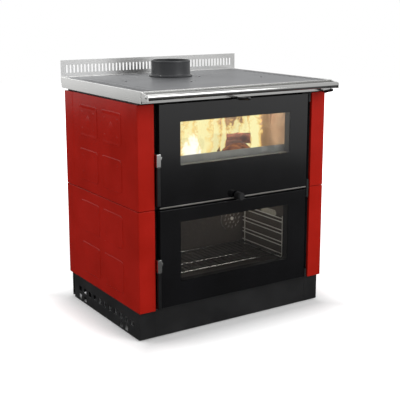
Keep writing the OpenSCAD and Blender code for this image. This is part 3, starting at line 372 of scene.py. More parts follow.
@dataclass(frozen=True)
class VermiculiteBoard(Finish):
    """Pressed vermiculite: pinkish-beige, flecked with mica flakes, sooted in soft clouds."""

    name: str = "pressed_vermiculite_firebrick"
    clean: str = "#D8C3AC"
    sooty: str = "#AE9078"
    flake_mm: float = 4.0
    soot_mm: float = 130.0

    def shade(self, tree: bpy.types.NodeTree, place: bpy.types.NodeSocket) -> bpy.types.Node:
        """Builds the soot clouds, the mica flakes and the board's rough face."""
        soot = add_node(
            tree, "TexNoise", inputs={"Vector": place, "Scale": per(self.soot_mm), "Detail": 5.0}
        )
        tone = add_node(
            tree,
            "ValToRGB",
            {"stops": [(0.34, self.sooty), (0.62, self.clean)]},
            {"Fac": soot.outputs["Fac"]},
        )
        flakes = add_node(tree, "TexVoronoi", inputs={"Vector": place, "Scale": per(self.flake_mm)})
        glint = add_node(
            tree,
            "ValToRGB",
            {"stops": [(0.0, "#FFFFFF"), (0.85, "#D8C8B8")]},
            {"Fac": flakes.outputs["Distance"]},
        )
        flecked = add_node(
            tree,
            "Mix",
            {"data_type": "RGBA", "blend_type": "MULTIPLY"},
            {0: 0.6, 6: tone.outputs["Color"], 7: glint.outputs["Color"]},
        )
        relief = add_node(
            tree,
            "Bump",
            inputs={"Height": flakes.outputs["Distance"], "Strength": 0.5, "Distance": 0.0008},
        )
        return add_node(
            tree,
            "BsdfPrincipled",
            inputs={
                "Base Color": flecked.outputs[2],
                "Roughness": 0.88,
                "Specular IOR Level": 0.2,
                "Normal": relief.outputs["Normal"],
            },
        )


@dataclass(frozen=True)
class VitreousEnamel(Finish):
    """Enamel fused on steel: a glassy skin peppered with pale specks."""

    name: str = "speckled_oven_enamel"
    ground: str = "#4B4440"
    speck: str = "#8D867F"
    speck_mm: float = 5.0
    roughness: float = 0.32

    def shade(self, tree: bpy.types.NodeTree, place: bpy.types.NodeSocket) -> bpy.types.Node:
        """Builds the specks and the soft ripple of the fused skin."""
        cells = add_node(tree, "TexVoronoi", inputs={"Vector": place, "Scale": per(self.speck_mm)})
        tone = add_node(
            tree,
            "ValToRGB",
            {"stops": [(0.1, self.speck), (0.22, self.ground)]},
            {"Fac": cells.outputs["Distance"]},
        )
        ripple = add_node(tree, "TexNoise", inputs={"Vector": place, "Scale": per(12.0)})
        relief = add_node(
            tree,
            "Bump",
            inputs={"Height": ripple.outputs["Fac"], "Strength": 0.2, "Distance": 0.0006},
        )
        return add_node(
            tree,
            "BsdfPrincipled",
            inputs={
                "Base Color": tone.outputs["Color"],
                "Roughness": self.roughness,
                "Coat Weight": 0.3,
                "Coat Roughness": 0.15,
                "Normal": relief.outputs["Normal"],
            },
        )


@dataclass(frozen=True)
class CeramicGlass(Finish):
    """Heat-proof ceramic glass, faintly smoked, so what lies behind it looks a shade darker."""

    name: str = "smoked_ceramic_glass"
    tint: str = "#E4E4E2"

    def shade(self, tree: bpy.types.NodeTree, place: bpy.types.NodeSocket) -> bpy.types.Node:
        """Builds the clear glass with a trace of waviness from its rolling."""
        wave = add_node(tree, "TexNoise", inputs={"Vector": place, "Scale": per(220.0)})
        relief = add_node(
            tree,
            "Bump",
            inputs={"Height": wave.outputs["Fac"], "Strength": 0.05, "Distance": 0.0004},
        )
        return add_node(
            tree,
            "BsdfPrincipled",
            inputs={
                "Base Color": self.tint,
                "Roughness": 0.0,
                "IOR": 1.5,
                "Transmission Weight": 1.0,
                "Normal": relief.outputs["Normal"],
            },
        )


@dataclass(frozen=True)
class PrintedGlass(Finish):
    """Glass screen-printed black on its inner face: a deep black with a mirror-smooth front."""

    name: str = "black_printed_glass"
    ink: str = "#070708"
    haze: str = "#0E0E10"

    def shade(self, tree: bpy.types.NodeTree, place: bpy.types.NodeSocket) -> bpy.types.Node:
        """Builds the ink with a faint haze and the trace of dust that breaks its shine."""
        cloud = add_node(
            tree, "TexNoise", inputs={"Vector": place, "Scale": per(160.0), "Detail": 4.0}
        )
        tone = add_node(
            tree,
            "ValToRGB",
            {"stops": [(0.35, self.ink), (0.7, self.haze)]},
            {"Fac": cloud.outputs["Fac"]},
        )
        gloss = add_node(tree, "MapRange", inputs={"Value": cloud.outputs["Fac"], 3: 0.03, 4: 0.09})
        return add_node(
            tree,
            "BsdfPrincipled",
            inputs={
                "Base Color": tone.outputs["Color"],
                "Roughness": gloss.outputs["Result"],
                "IOR": 1.5,
            },
        )


@dataclass(frozen=True)
class FibreRope(Finish):
    """Braided glass-fibre rope, dark with graphite: strands cross it on the slant."""

    name: str = "braided_glass_fibre_rope"
    strand: str = "#3B3A38"
    gap: str = "#171716"
    strand_mm: float = 4.0

    def shade(self, tree: bpy.types.NodeTree, place: bpy.types.NodeSocket) -> bpy.types.Node:
        """Builds the slanting strands and their fuzz."""
        braid = add_node(
            tree,
            "TexWave",
            {"bands_direction": "DIAGONAL"},
            {"Vector": place, "Scale": per(self.strand_mm) / 6.3, "Distortion": 2.0, "Detail": 2.0},
        )
        tone = add_node(
            tree,
            "ValToRGB",
            {"stops": [(0.1, self.gap), (0.7, self.strand)]},
            {"Fac": braid.outputs["Fac"]},
        )
        relief = add_node(
            tree,
            "Bump",
            inputs={"Height": braid.outputs["Fac"], "Strength": 0.8, "Distance": 0.001},
        )
        return add_node(
            tree,
            "BsdfPrincipled",
            inputs={
                "Base Color": tone.outputs["Color"],
                "Roughness": 0.95,
                "Sheen Weight": 0.3,
                "Normal": relief.outputs["Normal"],
            },
        )


@dataclass(frozen=True)
class Phenolic(Finish):
    """Moulded phenolic: hard black with a soft gloss and faint flow marks."""

    name: str = "moulded_black_phenolic"
    colour: str = "#0D0D0E"
    flow: str = "#161617"

    def shade(self, tree: bpy.types.NodeTree, place: bpy.types.NodeSocket) -> bpy.types.Node:
        """Builds the flow marks and the fine wear that dulls the gloss in spots."""
        flow = add_node(
            tree, "TexNoise", inputs={"Vector": place, "Scale": per(22.0), "Distortion": 1.2}
        )
        tone = add_node(
            tree,
            "ValToRGB",
            {"stops": [(0.35, self.colour), (0.7, self.flow)]},
            {"Fac": flow.outputs["Fac"]},
        )
        gloss = add_node(tree, "MapRange", inputs={"Value": flow.outputs["Fac"], 3: 0.24, 4: 0.4})
        return add_node(
            tree,
            "BsdfPrincipled",
            inputs={"Base Color": tone.outputs["Color"], "Roughness": gloss.outputs["Result"]},
        )


@dataclass(frozen=True)
class LampLens(Finish):
    """Ribbed frosted lens over the oven's bulb: warm milky glass that glows a little."""

    name: str = "frosted_lamp_lens"
    glass: str = "#B9B6AA"
    glow: float = 0.04

    def shade(self, tree: bpy.types.NodeTree, place: bpy.types.NodeSocket) -> bpy.types.Node:
        """Builds the ribs and the glow behind them."""
        ribs = add_node(
            tree,
            "TexWave",
            {"bands_direction": "Y"},
            {"Vector": place, "Scale": per(5.0) / 6.3, "Distortion": 0.0},
        )
        tone = add_node(
            tree,
            "ValToRGB",
            {"stops": [(0.0, "#9C998C"), (1.0, self.glass)]},
            {"Fac": ribs.outputs["Fac"]},
        )
        relief = add_node(
            tree,
            "Bump",
            inputs={"Height": ribs.outputs["Fac"], "Strength": 0.5, "Distance": 0.0006},
        )
        return add_node(
            tree,
            "BsdfPrincipled",
            inputs={
                "Base Color": tone.outputs["Color"],
                "Roughness": 0.35,
                "Emission Color": tone.outputs["Color"],
                "Emission Strength": self.glow,
                "Normal": relief.outputs["Normal"],
            },
        )


@dataclass(frozen=True)
class SplitWood(Finish):
    """Split or barked firewood: long fibres, pale ridges and dark cracks, reddish in the fire, its own tone
    glowing a little as painted firelight.
    """

    pale: str = "#D98A4A"
    dark: str = "#7A3F24"
    fibre_mm: tuple[float, float, float] = (90.0, 7.0, 7.0)
    crack: float = 0.0025
    # Strength of the painted firelight glow on the wood.
    glow: float = 0.12

    def shade(self, tree: bpy.types.NodeTree, place: bpy.types.NodeSocket) -> bpy.types.Node:
        """Builds the fibres along the log and the cracks between them."""
        stretch = add_node(
            tree,
            "Mapping",
            inputs={"Vector": place, "Scale": tuple(per(size) for size in self.fibre_mm)},
        )
        fibre = add_node(
            tree,
            "TexNoise",
            inputs={"Vector": stretch.outputs[0], "Scale": 1.0, "Detail": 6.0, "Distortion": 0.4},
        )
        tone = add_node(
            tree,
            "ValToRGB",
            {"stops": [(0.35, self.dark), (0.62, self.pale)]},
            {"Fac": fibre.outputs["Fac"]},
        )
        relief = add_node(
            tree,
            "Bump",
            inputs={"Height": fibre.outputs["Fac"], "Strength": 0.9, "Distance": self.crack},
        )
        return add_node(
            tree,
            "BsdfPrincipled",
            inputs={
                "Base Color": tone.outputs["Color"],
                "Roughness": 0.85,
                # The wood's own tone glows a little: a painted glow of the fire's light on the logs.
                "Emission Color": tone.outputs["Color"],
                "Emission Strength": self.glow,
                "Normal": relief.outputs["Normal"],
            },
        )


@dataclass(frozen=True)
class GlowingChar(Finish):
    """Burnt-down wood: crusted black lumps whose cracks glow orange."""

    name: str = "glowing_char"
    crust: str = "#241712"
    heart: str = "#FF8A2E"
    crack_mm: float = 14.0

    def shade(self, tree: bpy.types.NodeTree, place: bpy.types.NodeSocket) -> bpy.types.Node:
        """Builds the crust and the glowing cracks."""
        cracks = add_node(
            tree,
            "TexVoronoi",
            {"feature": "DISTANCE_TO_EDGE"},
            {"Vector": place, "Scale": per(self.crack_mm)},
        )
        heat = add_node(
            tree,
            "ValToRGB",
            {"stops": [(0.0, self.heart), (0.12, "#8A2A0A"), (0.3, "#000000")]},
            {"Fac": cracks.outputs["Distance"]},
        )
        relief = add_node(
            tree,
            "Bump",
            inputs={"Height": cracks.outputs["Distance"], "Strength": 0.6, "Distance": 0.002},
        )
        return add_node(
            tree,
            "BsdfPrincipled",
            inputs={
                "Base Color": self.crust,
                "Roughness": 0.9,
                "Emission Color": heat.outputs["Color"],
                "Emission Strength": 1.6,
                "Normal": relief.outputs["Normal"],
            },
        )


@dataclass(frozen=True)
class Flame(Finish):
    """A tongue of burning gas: a pale yellow heart that thins to orange and then to nothing."""

    name: str = "wood_gas_flame"
    rim: str = "#EDA253"
    middle: str = "#F8D884"
    heart: str = "#FFF6B6"
    strength: float = 1.3

    def shade(self, tree: bpy.types.NodeTree, place: bpy.types.NodeSocket) -> bpy.types.Node:
        """Builds the tongue from the sheet's own UV: U runs across it and V up it."""
        sheet = add_node(tree, "TexCoord").outputs["UV"]
        flicker = add_node(
            tree,
            "TexNoise",
            inputs={"Vector": place, "Scale": per(30.0), "Detail": 4.0, "Distortion": 1.2},
        )
        across = add_node(tree, "SeparateXYZ", inputs={0: sheet})
        sway = add_node(
            tree,
            "MapRange",
            inputs={"Value": flicker.outputs["Fac"], 1: 0.3, 2: 0.7, 3: -0.4, 4: 0.4},
        )
        lean = add_node(
            tree,
            "Math",
            {"operation": "MULTIPLY_ADD"},
            {0: sway.outputs["Result"], 1: across.outputs["Y"], 2: across.outputs["X"]},
        )
        off_axis = add_node(tree, "Math", {"operation": "SUBTRACT"}, {0: lean.outputs[0], 1: 0.5})
        spread = add_node(tree, "Math", {"operation": "ABSOLUTE"}, {0: off_axis.outputs[0]})
        narrowing = add_node(tree, "FloatCurve", inputs={"Value": across.outputs["Y"]})
        curve = narrowing.mapping.curves[0]
        curve.points[0].location = (0.0, 0.34)
        curve.points[1].location = (1.0, 0.02)
        curve.points.new(0.25, 0.48)
        curve.points.new(0.75, 0.3)
        narrowing.mapping.update()
        nearness = add_node(
            tree, "Math", {"operation": "SUBTRACT"}, {0: narrowing.outputs[0], 1: spread.outputs[0]}
        )
        body = add_node(
            tree, "MapRange", inputs={"Value": nearness.outputs[0], 1: 0.0, 2: 0.3, 3: 0.0, 4: 1.0}
        )
        colour = add_node(
            tree,
            "ValToRGB",
            {"stops": [(0.0, self.rim), (0.35, self.middle), (0.8, self.heart)]},
            {"Fac": body.outputs["Result"]},
        )
        veil = add_node(
            tree, "MapRange", inputs={"Value": nearness.outputs[0], 1: 0.0, 2: 0.1, 3: 0.0, 4: 0.85}
        )
        light = add_node(
            tree, "Emission", inputs={"Color": colour.outputs["Color"], "Strength": self.strength}
        )
        gone = add_node(tree, "BsdfTransparent")
        return add_node(
            tree,
            "MixShader",
            inputs={0: veil.outputs["Result"], 1: gone.outputs[0], 2: light.outputs[0]},
        )


GLAZE = MajolicaGlaze()
SHEET_WIDE = BrushedMetal("brushed_stainless_widthwise", "#B4B4B2", "#ABABAA", roughness=0.2)
SHEET_DEEP = BrushedMetal(
    "brushed_stainless_depthwise", "#DEDEDC", "#D8D8D6", Grain.DEPTHWISE, 0.25
)
SPLASH_STEEL = BrushedMetal(
    "polished_splash_sheet", "#B9B9B8", "#B3B3B2", roughness=0.34, depth=0.00001, spread=0.02
)
POLISHED = BrushedMetal("polished_steel_tube", "#ACACAA", "#A4A4A3", roughness=0.08)
CHROMED = BrushedMetal("satin_chrome", "#C6C6C5", "#B4B4B3", Grain.UPRIGHT, 0.22)
HOB_STEEL = BrushedMetal(
    "ground_hob_steel", "#A8A9AB", "#9C9D9F", Grain.WIDTHWISE, 0.36, 0.0001, 0.06, "#B0B0B0"
)
WIRE = BrushedMetal("satin_wire", "#B5B3AF", "#9C9A96", roughness=0.25)
PLATED = GrittySkin(
    "zinc_plated_wire", "#DAD8D2", "#E8E6E0", patch_mm=40.0, roughness=0.4, metallic=0.3
)
STOVE_PAINT = GrittySkin("black_stove_paint", "#121213", "#1A1A1B")
INNER_BLACK = GrittySkin("black_door_casting", "#101011", "#171718", roughness=0.55)
CASING = GrittySkin("grey_casing_sheet", "#303133", "#3A3B3D", grit_mm=1.2, roughness=0.48)
CAST_IRON = GrittySkin(
    "matt_cast_iron", "#2C2D2F", "#343537", patch_mm=60.0, grit_mm=1.8, roughness=0.42
)
GRATE_IRON = GrittySkin("fired_cast_iron", "#2B2A2A", "#3D3733", grit_mm=2.2, roughness=0.7)
SOOTED = GrittySkin("sooted_steel", "#1A1918", "#2C2A28", patch_mm=70.0, roughness=0.8)
DULLED = GrittySkin(
    "heat_dulled_steel", "#75736F", "#8E8C89", patch_mm=80.0, roughness=0.42, metallic=0.8
)
FIRE_GUARD = GrittySkin(
    "bead_blasted_fire_guard", "#A9AAA6", "#BCBCB8", patch_mm=50.0, roughness=0.4, metallic=0.3
)
BRICK = VermiculiteBoard()
ENAMEL = VitreousEnamel()
WINDOW = CeramicGlass()
PRINT = PrintedGlass()
ROPE = FibreRope()
KNOB_BLACK = Phenolic()
LENS = LampLens()
SPLIT_FACE = SplitWood("split_wood_in_the_fire")
BARK = SplitWood("charring_bark", "#6B3A2C", "#2E1712", (60.0, 10.0, 10.0), 0.004, 0.06)
CHAR = GlowingChar()
FLAME = Flame()
WHITE_FLAME = Flame("white_hot_flame", "#F6C274", "#FFF1C4", "#FFFFF4", 1.5)


def deselect_all() -> None:
    """Leaves nothing selected, so that the next operator acts on the new piece alone."""
    bpy.ops.object.select_all(action="DESELECT")


def take(piece: bpy.types.Object) -> None:
    """Makes this piece the only selected and the active one."""
    deselect_all()
    piece.select_set(True)
    bpy.context.view_layer.objects.active = piece


@contextmanager
def editing(piece: bpy.types.Object, mode: str = "FACE") -> Iterator[None]:
    """Opens a piece in edit mode with nothing selected, and closes it again.

    Args:
        piece: The mesh to edit.
        mode: What is selected: "VERT", "EDGE" or "FACE".
    """
    take(piece)
    bpy.ops.object.mode_set(mode="EDIT")
    bpy.ops.mesh.select_mode(type=mode)
    bpy.ops.mesh.select_all(action="DESELECT")
    yield
    bpy.ops.object.mode_set(mode="OBJECT")


def pick_faces(piece: bpy.types.Object, wanted: Callable[[Vector, Vector], bool]) -> int:
    """Selects the faces that a test wants, in edit mode.

    Args:
        piece: The mesh that is open in edit mode.
        wanted: A test of a face's middle and normal.

    Returns:
        How many faces are selected.
    """
    mesh = bmesh.from_edit_mesh(piece.data)
    mesh.faces.ensure_lookup_table()
    chosen = [f for f in mesh.faces if wanted(f.calc_center_median(), f.normal)]
    for face in mesh.faces:
        face.select_set(False)
    for face in chosen:
        face.select_set(True)
    bmesh.update_edit_mesh(piece.data)
    return len(chosen)


def pick_edges(piece: bpy.types.Object, wanted: Callable[[Vector, Vector], bool]) -> int:
    """Selects the edges that a test wants, in edit mode.

    Args:
        piece: The mesh that is open in edit mode.
        wanted: A test of an edge's middle and unit direction.

    Returns:
        How many edges are selected.
    """
    mesh = bmesh.from_edit_mesh(piece.data)
    count = 0
    for edge in mesh.edges:
        ends = [v.co for v in edge.verts]
        hit = wanted((ends[0] + ends[1]) / 2, (ends[1] - ends[0]).normalized())
        edge.select_set(hit)
        count += hit
    bmesh.update_edit_mesh(piece.data)
    return count


def pick_vertices(piece: bpy.types.Object, wanted: Callable[[Vector], bool]) -> None:
    """Selects the vertices whose place a test wants, in edit mode."""
    mesh = bmesh.from_edit_mesh(piece.data)
    for vertex in mesh.verts:
        vertex.select_set(wanted(vertex.co))
    bmesh.update_edit_mesh(piece.data)


def settle(piece: bpy.types.Object) -> bpy.types.Object:
    """Puts a piece's place, turn and scale into its mesh, so its object sits at the origin."""
    take(piece)
    bpy.ops.object.transform_apply(location=True, rotation=True, scale=True)
    return piece


def start_box(name: str, low: Point, high: Point) -> bpy.types.Object:
    """Adds a cube primitive between two corners, as the start of a piece.

    Args:
        name: The piece's name.
        low: The lowest corner, in metres.
        high: The highest corner, in metres.

    Returns:
        The box, with its place in its mesh.
    """
    deselect_all()
    middle = [(a + b) / 2 for a, b in zip(low, high)]
    bpy.ops.mesh.primitive_cube_add(size=1.0, location=middle)
    piece = bpy.context.active_object
    piece.name = name
    piece.data.name = name
    piece.scale = [b - a for a, b in zip(low, high)]
    return settle(piece)


def cut(piece: bpy.types.Object, at: Point, across: Point) -> None:
    """Cuts the faces of a piece, open in edit mode, along a plane, and keeps both sides.

    Args:
        piece: The mesh that is open in edit mode.
        at: A point of the plane.
        across: The plane's normal.
    """
    bpy.ops.mesh.select_all(action="SELECT")
    bpy.ops.mesh.bisect(plane_co=at, plane_no=across)
    bpy.ops.mesh.select_all(action="DESELECT")


def lathe(
    name: str, profile: list[tuple[float, float]], sides: int = 48, closed: bool = False
) -> bpy.types.Object:
    """Turns a profile about Z: a circle is extruded and resized from step to step.

    Args:
        name: The piece's name.
        profile: Radius and height of each step, in metres.
        sides: The number of sides of the circle.
        closed: True if the last step joins the first, as in a ring; otherwise both ends are capped.

    Returns:
        The turned piece, standing on the origin.
    """
    deselect_all()
    first_r, first_z = profile[0]
    bpy.ops.mesh.primitive_circle_add(
        vertices=sides, radius=first_r, fill_type="NOTHING", location=(0, 0, first_z)
    )
    piece = settle(bpy.context.active_object)
    piece.name = name
    piece.data.name = name
    with editing(piece, "EDGE"):
        bpy.ops.mesh.select_all(action="SELECT")
        if not closed:
            bpy.ops.mesh.edge_face_add()
            bpy.ops.mesh.select_mode(type="EDGE")
        last_r, last_z = first_r, first_z
        for radius, height in profile[1:] + (profile[:1] if closed else []):
            bpy.ops.mesh.extrude_edges_move(
                TRANSFORM_OT_translate={"value": (0, 0, height - last_z)}
            )
            scale = radius / last_r
            bpy.ops.transform.resize(value=(scale, scale, 1.0), center_override=(0, 0, height))
            last_r, last_z = radius, height
        if not closed:
            bpy.ops.mesh.edge_face_add()
        bpy.ops.mesh.select_all(action="SELECT")
        bpy.ops.mesh.remove_doubles(threshold=0.000005)
        bpy.ops.mesh.normals_make_consistent(inside=False)
    return piece


def place_at(piece: bpy.types.Object, where: Point, turn: Point = (0, 0, 0)) -> bpy.types.Object:
    """Turns a piece by Euler angles in degrees about the origin, then moves it into place."""
    piece.rotation_euler = Euler([math.radians(a) for a in turn])
    piece.location = where
    return settle(piece)


def apply_modifier(piece: bpy.types.Object, kind: str, **settings: object) -> None:
    """Adds a modifier with its settings and applies it.

    Args:
        piece: The mesh.
        kind: The modifier's type, such as "BEVEL".
        **settings: The modifier's properties.
    """
    take(piece)
    modifier = piece.modifiers.new(kind.title(), kind)
    for key, value in settings.items():
        setattr(modifier, key, value)
    bpy.ops.object.modifier_apply(modifier=modifier.name)


def round_edges(
    piece: bpy.types.Object, width: float, segments: int = 2, angle: float = 35.0
) -> bpy.types.Object:
    """Rounds a piece's sharp edges and shades it so that its flat faces stay flat.

    Args:
        piece: The mesh.
        width: The width of the rounding, in metres.
        segments: The number of steps of the rounding.
        angle: Only edges sharper than this many degrees are rounded.

    Returns:
        The same piece.
    """
    apply_modifier(
        piece,
        "BEVEL",
        width=width,
        segments=segments,
        limit_method="ANGLE",
        angle_limit=math.radians(angle),
        use_clamp_overlap=True,
        miter_outer="MITER_ARC",
    )
    smooth(piece)
    return piece


def smooth(piece: bpy.types.Object, angle: float = 42.0) -> None:
    """Shades a piece smooth up to an angle, in degrees, weighted by the size of its faces."""
    take(piece)
    bpy.ops.object.shade_smooth_by_angle(angle=math.radians(angle))
    apply_modifier(piece, "WEIGHTED_NORMAL", keep_sharp=True)


def copy_of(
    piece: bpy.types.Object, name: str, shift: Point = (0, 0, 0), mirrored: bool = False
) -> bpy.types.Object:
    """Copies a piece with its own mesh.

    Args:
        piece: The piece to copy, with its place in its mesh.
        name: The copy's name.
        shift: How far the copy is moved, in metres.
        mirrored: True if the copy is mirrored across the plane X = 0.

    Returns:
        The copy.
    """
    take(piece)
    bpy.ops.object.duplicate(linked=False)
    twin = bpy.context.active_object
    twin.name = name
    twin.data.name = name
    twin.location = shift
    if mirrored:
        twin.scale.x = -1.0
    settle(twin)
    if mirrored:
        with editing(twin):
            bpy.ops.mesh.select_all(action="SELECT")
            bpy.ops.mesh.normals_make_consistent(inside=False)
        bpy.ops.mesh.customdata_custom_splitnormals_clear()
        smooth(twin, 32.0)
    return twin


def joined(pieces: list[bpy.types.Object]) -> bpy.types.Object:
    """Joins several pieces into the first one."""
    deselect_all()
    for piece in pieces:
        piece.select_set(True)
    bpy.context.view_layer.objects.active = pieces[0]
    bpy.ops.object.join()
    return pieces[0]


def paint(piece: bpy.types.Object, *finishes: Finish) -> None:
    """Gives a piece these finishes, one in each of its material slots."""
    piece.data.materials.clear()
    for finish in finishes:
        piece.data.materials.append(finish.material())


def dress(
    piece: bpy.types.Object,
    body: str,
    slot: Slot | None,
    *finishes: Finish,
    stands_for: tuple[str, ...] = (),
) -> bpy.types.Object:
    """Finishes a new piece and ties it to the frame.

    Args:
        piece: The finished mesh, with its place in its mesh.
        body: The CAD body that carries it.
        slot: The record's material slot, or None; it is not used.
        *finishes: Its finishes, in the order of its material slots.
        stands_for: The CAD nodes that it replaces.

    Returns:
        The same piece.
    """
    if finishes:
        paint(piece, *finishes)
    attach(piece, body)
    if stands_for:
        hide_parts(*stands_for)
    LOG.info("%s rides on %s", piece.name, body)
    return piece


def keep_node(node: str, finish: Finish) -> None:
    """Leaves a CAD node as it is and gives all of its material slots a finish."""
    shown = frame["nodes"][node]
    for slot in shown.material_slots:
        slot.material = finish.material()
    if not shown.material_slots:
        shown.data.materials.append(finish.material())
    LOG.info("%s keeps its form, as %s", node, finish.name)


def shown_area(piece: bpy.types.Object) -> float:
    """Gives the area of a mesh as it is drawn, in square metres."""
    piece.data.calc_loop_triangles()
    return sum(triangle.area for triangle in piece.data.loop_triangles)


def welded_copy(node: str, merged: bool) -> bpy.types.Object:
    """Copies a CAD node's mesh and welds it.

    Args:
        node: The CAD node.
        merged: True if its flat faces become single faces; otherwise they stay in quads.

    Returns:
        The copy, a closed mesh.
    """
    piece = bpy.data.objects.new(node + "_eased", frame["nodes"][node].data.copy())
    bpy.context.scene.collection.objects.link(piece)
    with editing(piece):
        bpy.ops.mesh.select_all(action="SELECT")
        bpy.ops.mesh.remove_doubles(threshold=0.00001)
        if merged:
            bpy.ops.mesh.dissolve_limited(angle_limit=math.radians(0.6))
        else:
            bpy.ops.mesh.tris_convert_to_quads(
                face_threshold=math.radians(0.5), shape_threshold=math.radians(179)
            )
    return piece


def eased(
    node: str, slot: Slot, finish: Finish, width: float = 0.0008, segments: int = 2
) -> bpy.types.Object:
    """Copies a CAD node, welds it and breaks its sharp edges, as a maker deburrs a part.

    A flat face with holes can close over when it is one face, which its area gives away, and
    such a piece is eased from its quads.

    Args:
        node: The CAD node, which the copy replaces.
        slot: The record's material slot.
        finish: The piece's finish.
        width: The width of the broken edge, in metres.
        segments: The number of steps of the broken edge.

    Returns:
        The eased piece.
    """
    source = frame["nodes"][node]
    for merged in (True, False):
        piece = welded_copy(node, merged)
        round_edges(piece, width, segments)
        if merged and abs(shown_area(piece) / shown_area(source) - 0.99) > 0.02:
            bpy.data.objects.remove(piece)
            continue
        break
    paint(piece, finish)
    for polygon in piece.data.polygons:
        polygon.material_index = 0
    piece.name = node + "_eased"
    return dress(piece, source["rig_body"], slot, stands_for=(node,))


def second_finish(
    piece: bpy.types.Object, finish: Finish, wanted: Callable[[Vector, Vector], bool]
) -> None:
    """Gives some faces of a finished piece a second finish.

    Args:
        piece: The piece.
        finish: The second finish.
        wanted: A test of a face's middle and normal.
    """
    piece.data.materials.append(finish.material())
    last = len(piece.data.materials) - 1
    for polygon in piece.data.polygons:
        if wanted(polygon.center, polygon.normal):
            polygon.material_index = last


class Side(Enum):
    """Which side of the stove a piece is on."""

    LEFT = -1
    RIGHT = 1


class Tier(Enum):
    """Bottom and top of the two rows of ceramic panels, in metres."""

    LOWER = (0.1018, 0.45615)
    UPPER = (0.45765, 0.812)


@dataclass
class CeramicSides:
    """The four glazed panels: each wraps round a front corner and carries four raised tiles."""

    strip_x: float = 0.3348
    face_x: float = 0.3978
    wall: float = 0.012
    depth: float = 0.563
    band: float = 0.070
    band_slope: float = 0.0032
    band_rise: float = 0.0018
    corner_r: float = 0.0032
    edge_r: float = 0.0018
    tile: tuple[float, float] = (0.150, 0.117)
    tile_r: float = 0.016
    tile_slope: float = 0.0024
    tile_rise: float = 0.0016
    tile_rim: float = 0.0070
    dish_slope: float = 0.0040
    dish: float = 0.0006
    motif: float = 0.034
    motif_slope: float = 0.0050
    motif_rise: float = 0.0006
    seat: float = 0.0004
    rows: float = 0.08075
    columns: tuple[float, float] = (0.186, 0.367)

    def slab(self, tier: Tier) -> bpy.types.Object:
        """Models one right-hand panel without its tiles.

        Args:
            tier: The row that the panel belongs to.

        Returns:
            The slab, an L in plan.
        """
        low, high = tier.value
        front = deep(0.0)
        inner = self.face_x - self.wall
        band_y = deep(self.depth - self.band)
        piece = start_box(
            f"panel_{tier.name.lower()}",
            (self.strip_x, front, low),
            (self.face_x, front + self.wall, high),
        )
        with editing(piece):
            cut(piece, (inner, 0, 0), (1, 0, 0))
            pick_faces(piece, lambda mid, n: n.y > 0.9 and mid.x > inner)
            bpy.ops.mesh.extrude_region_move(
                TRANSFORM_OT_translate={"value": (0, self.depth - self.wall, 0)}
            )
            cut(piece, (0, band_y, 0), (0, 1, 0))
            cut(piece, (0, band_y + self.band_slope, 0), (0, 1, 0))
            pick_faces(piece, lambda mid, n: n.x > 0.9 and mid.y > band_y + self.band_slope)
            bpy.ops.transform.translate(value=(self.band_rise, 0, 0))
        with editing(piece, "EDGE"):
            pick_edges(
                piece,
                lambda mid, d: abs(d.z) > 0.9
                and mid.x > self.face_x - 0.001
                and mid.y < front + 0.001,
            )
            bpy.ops.mesh.bevel(offset=self.corner_r, segments=5, affect="EDGES")
        return round_edges(piece, self.edge_r, 3, 50.0)

    def relief_tile(self) -> bpy.types.Object:
        """Models one raised tile: a pillow with sloped sides, a rim and a lozenge in its field."""
        half_w, half_h = self.tile[0] / 2, self.tile[1] / 2
        base = self.face_x + 0.0001
        piece = start_box("tile", (base - 0.0007, -half_w, -half_h), (base, half_w, half_h))
        with editing(piece, "EDGE"):
            pick_edges(piece, lambda mid, d: abs(d.x) > 0.9)
            bpy.ops.mesh.bevel(offset=self.tile_r, segments=7, affect="EDGES")
        with editing(piece):
            pick_faces(piece, lambda mid, n: n.x > 0.9)
            bpy.ops.mesh.inset(thickness=self.tile_slope, depth=self.tile_rise)
            bpy.ops.mesh.inset(thickness=self.tile_rim)
            bpy.ops.mesh.inset(thickness=self.dish_slope, depth=-self.dish)
        smooth(piece, 25.0)
        field = base + self.tile_rise - self.dish
        half = self.motif / 2
        lozenge = start_box("lozenge", (field - self.seat, -half, -half), (field, half, half))
        place_at(lozenge, (0, 0, 0), (45, 0, 0))
        with editing(lozenge):
            pick_faces(lozenge, lambda mid, n: n.x > 0.9)
            bpy.ops.mesh.inset(thickness=self.motif_slope, depth=self.motif_rise)
        studs = []
        for u in (-1, 1):
            for v in (-1, 1):
                stud = lathe(
                    "stud", [(0.006, -self.seat), (0.006, 0.0), (0.0045, self.motif_rise)], sides=20
                )
                place_at(stud, (field, u * half_w * 0.62, v * half_h * 0.52), (0, 90, 0))
                studs.append(stud)
        return joined([piece, lozenge, *studs])

    def build(self) -> None:
        """Makes the four panels and ties them to the stove."""
        tile = self.relief_tile()
        for tier in Tier:
            middle = sum(tier.value) / 2
            right = self.slab(tier)
            tiles = [
                copy_of(tile, "tile_copy", (0, deep(t), middle + v * self.rows))
                for t in self.columns
                for v in (-1, 1)
            ]
            right = joined([right, *tiles])
            left = copy_of(right, "panel_copy", mirrored=True)
            for side, piece in ((Side.RIGHT, right), (Side.LEFT, left)):
                node = f"panel_{tier.name.lower()}_{side.name.lower()}"
                piece.name = node + "_glazed"
                piece.data.name = piece.name
                dress(piece, "stove", Slot.RED_GLAZE, GLAZE, stands_for=(node,))
        bpy.data.objects.remove(tile)


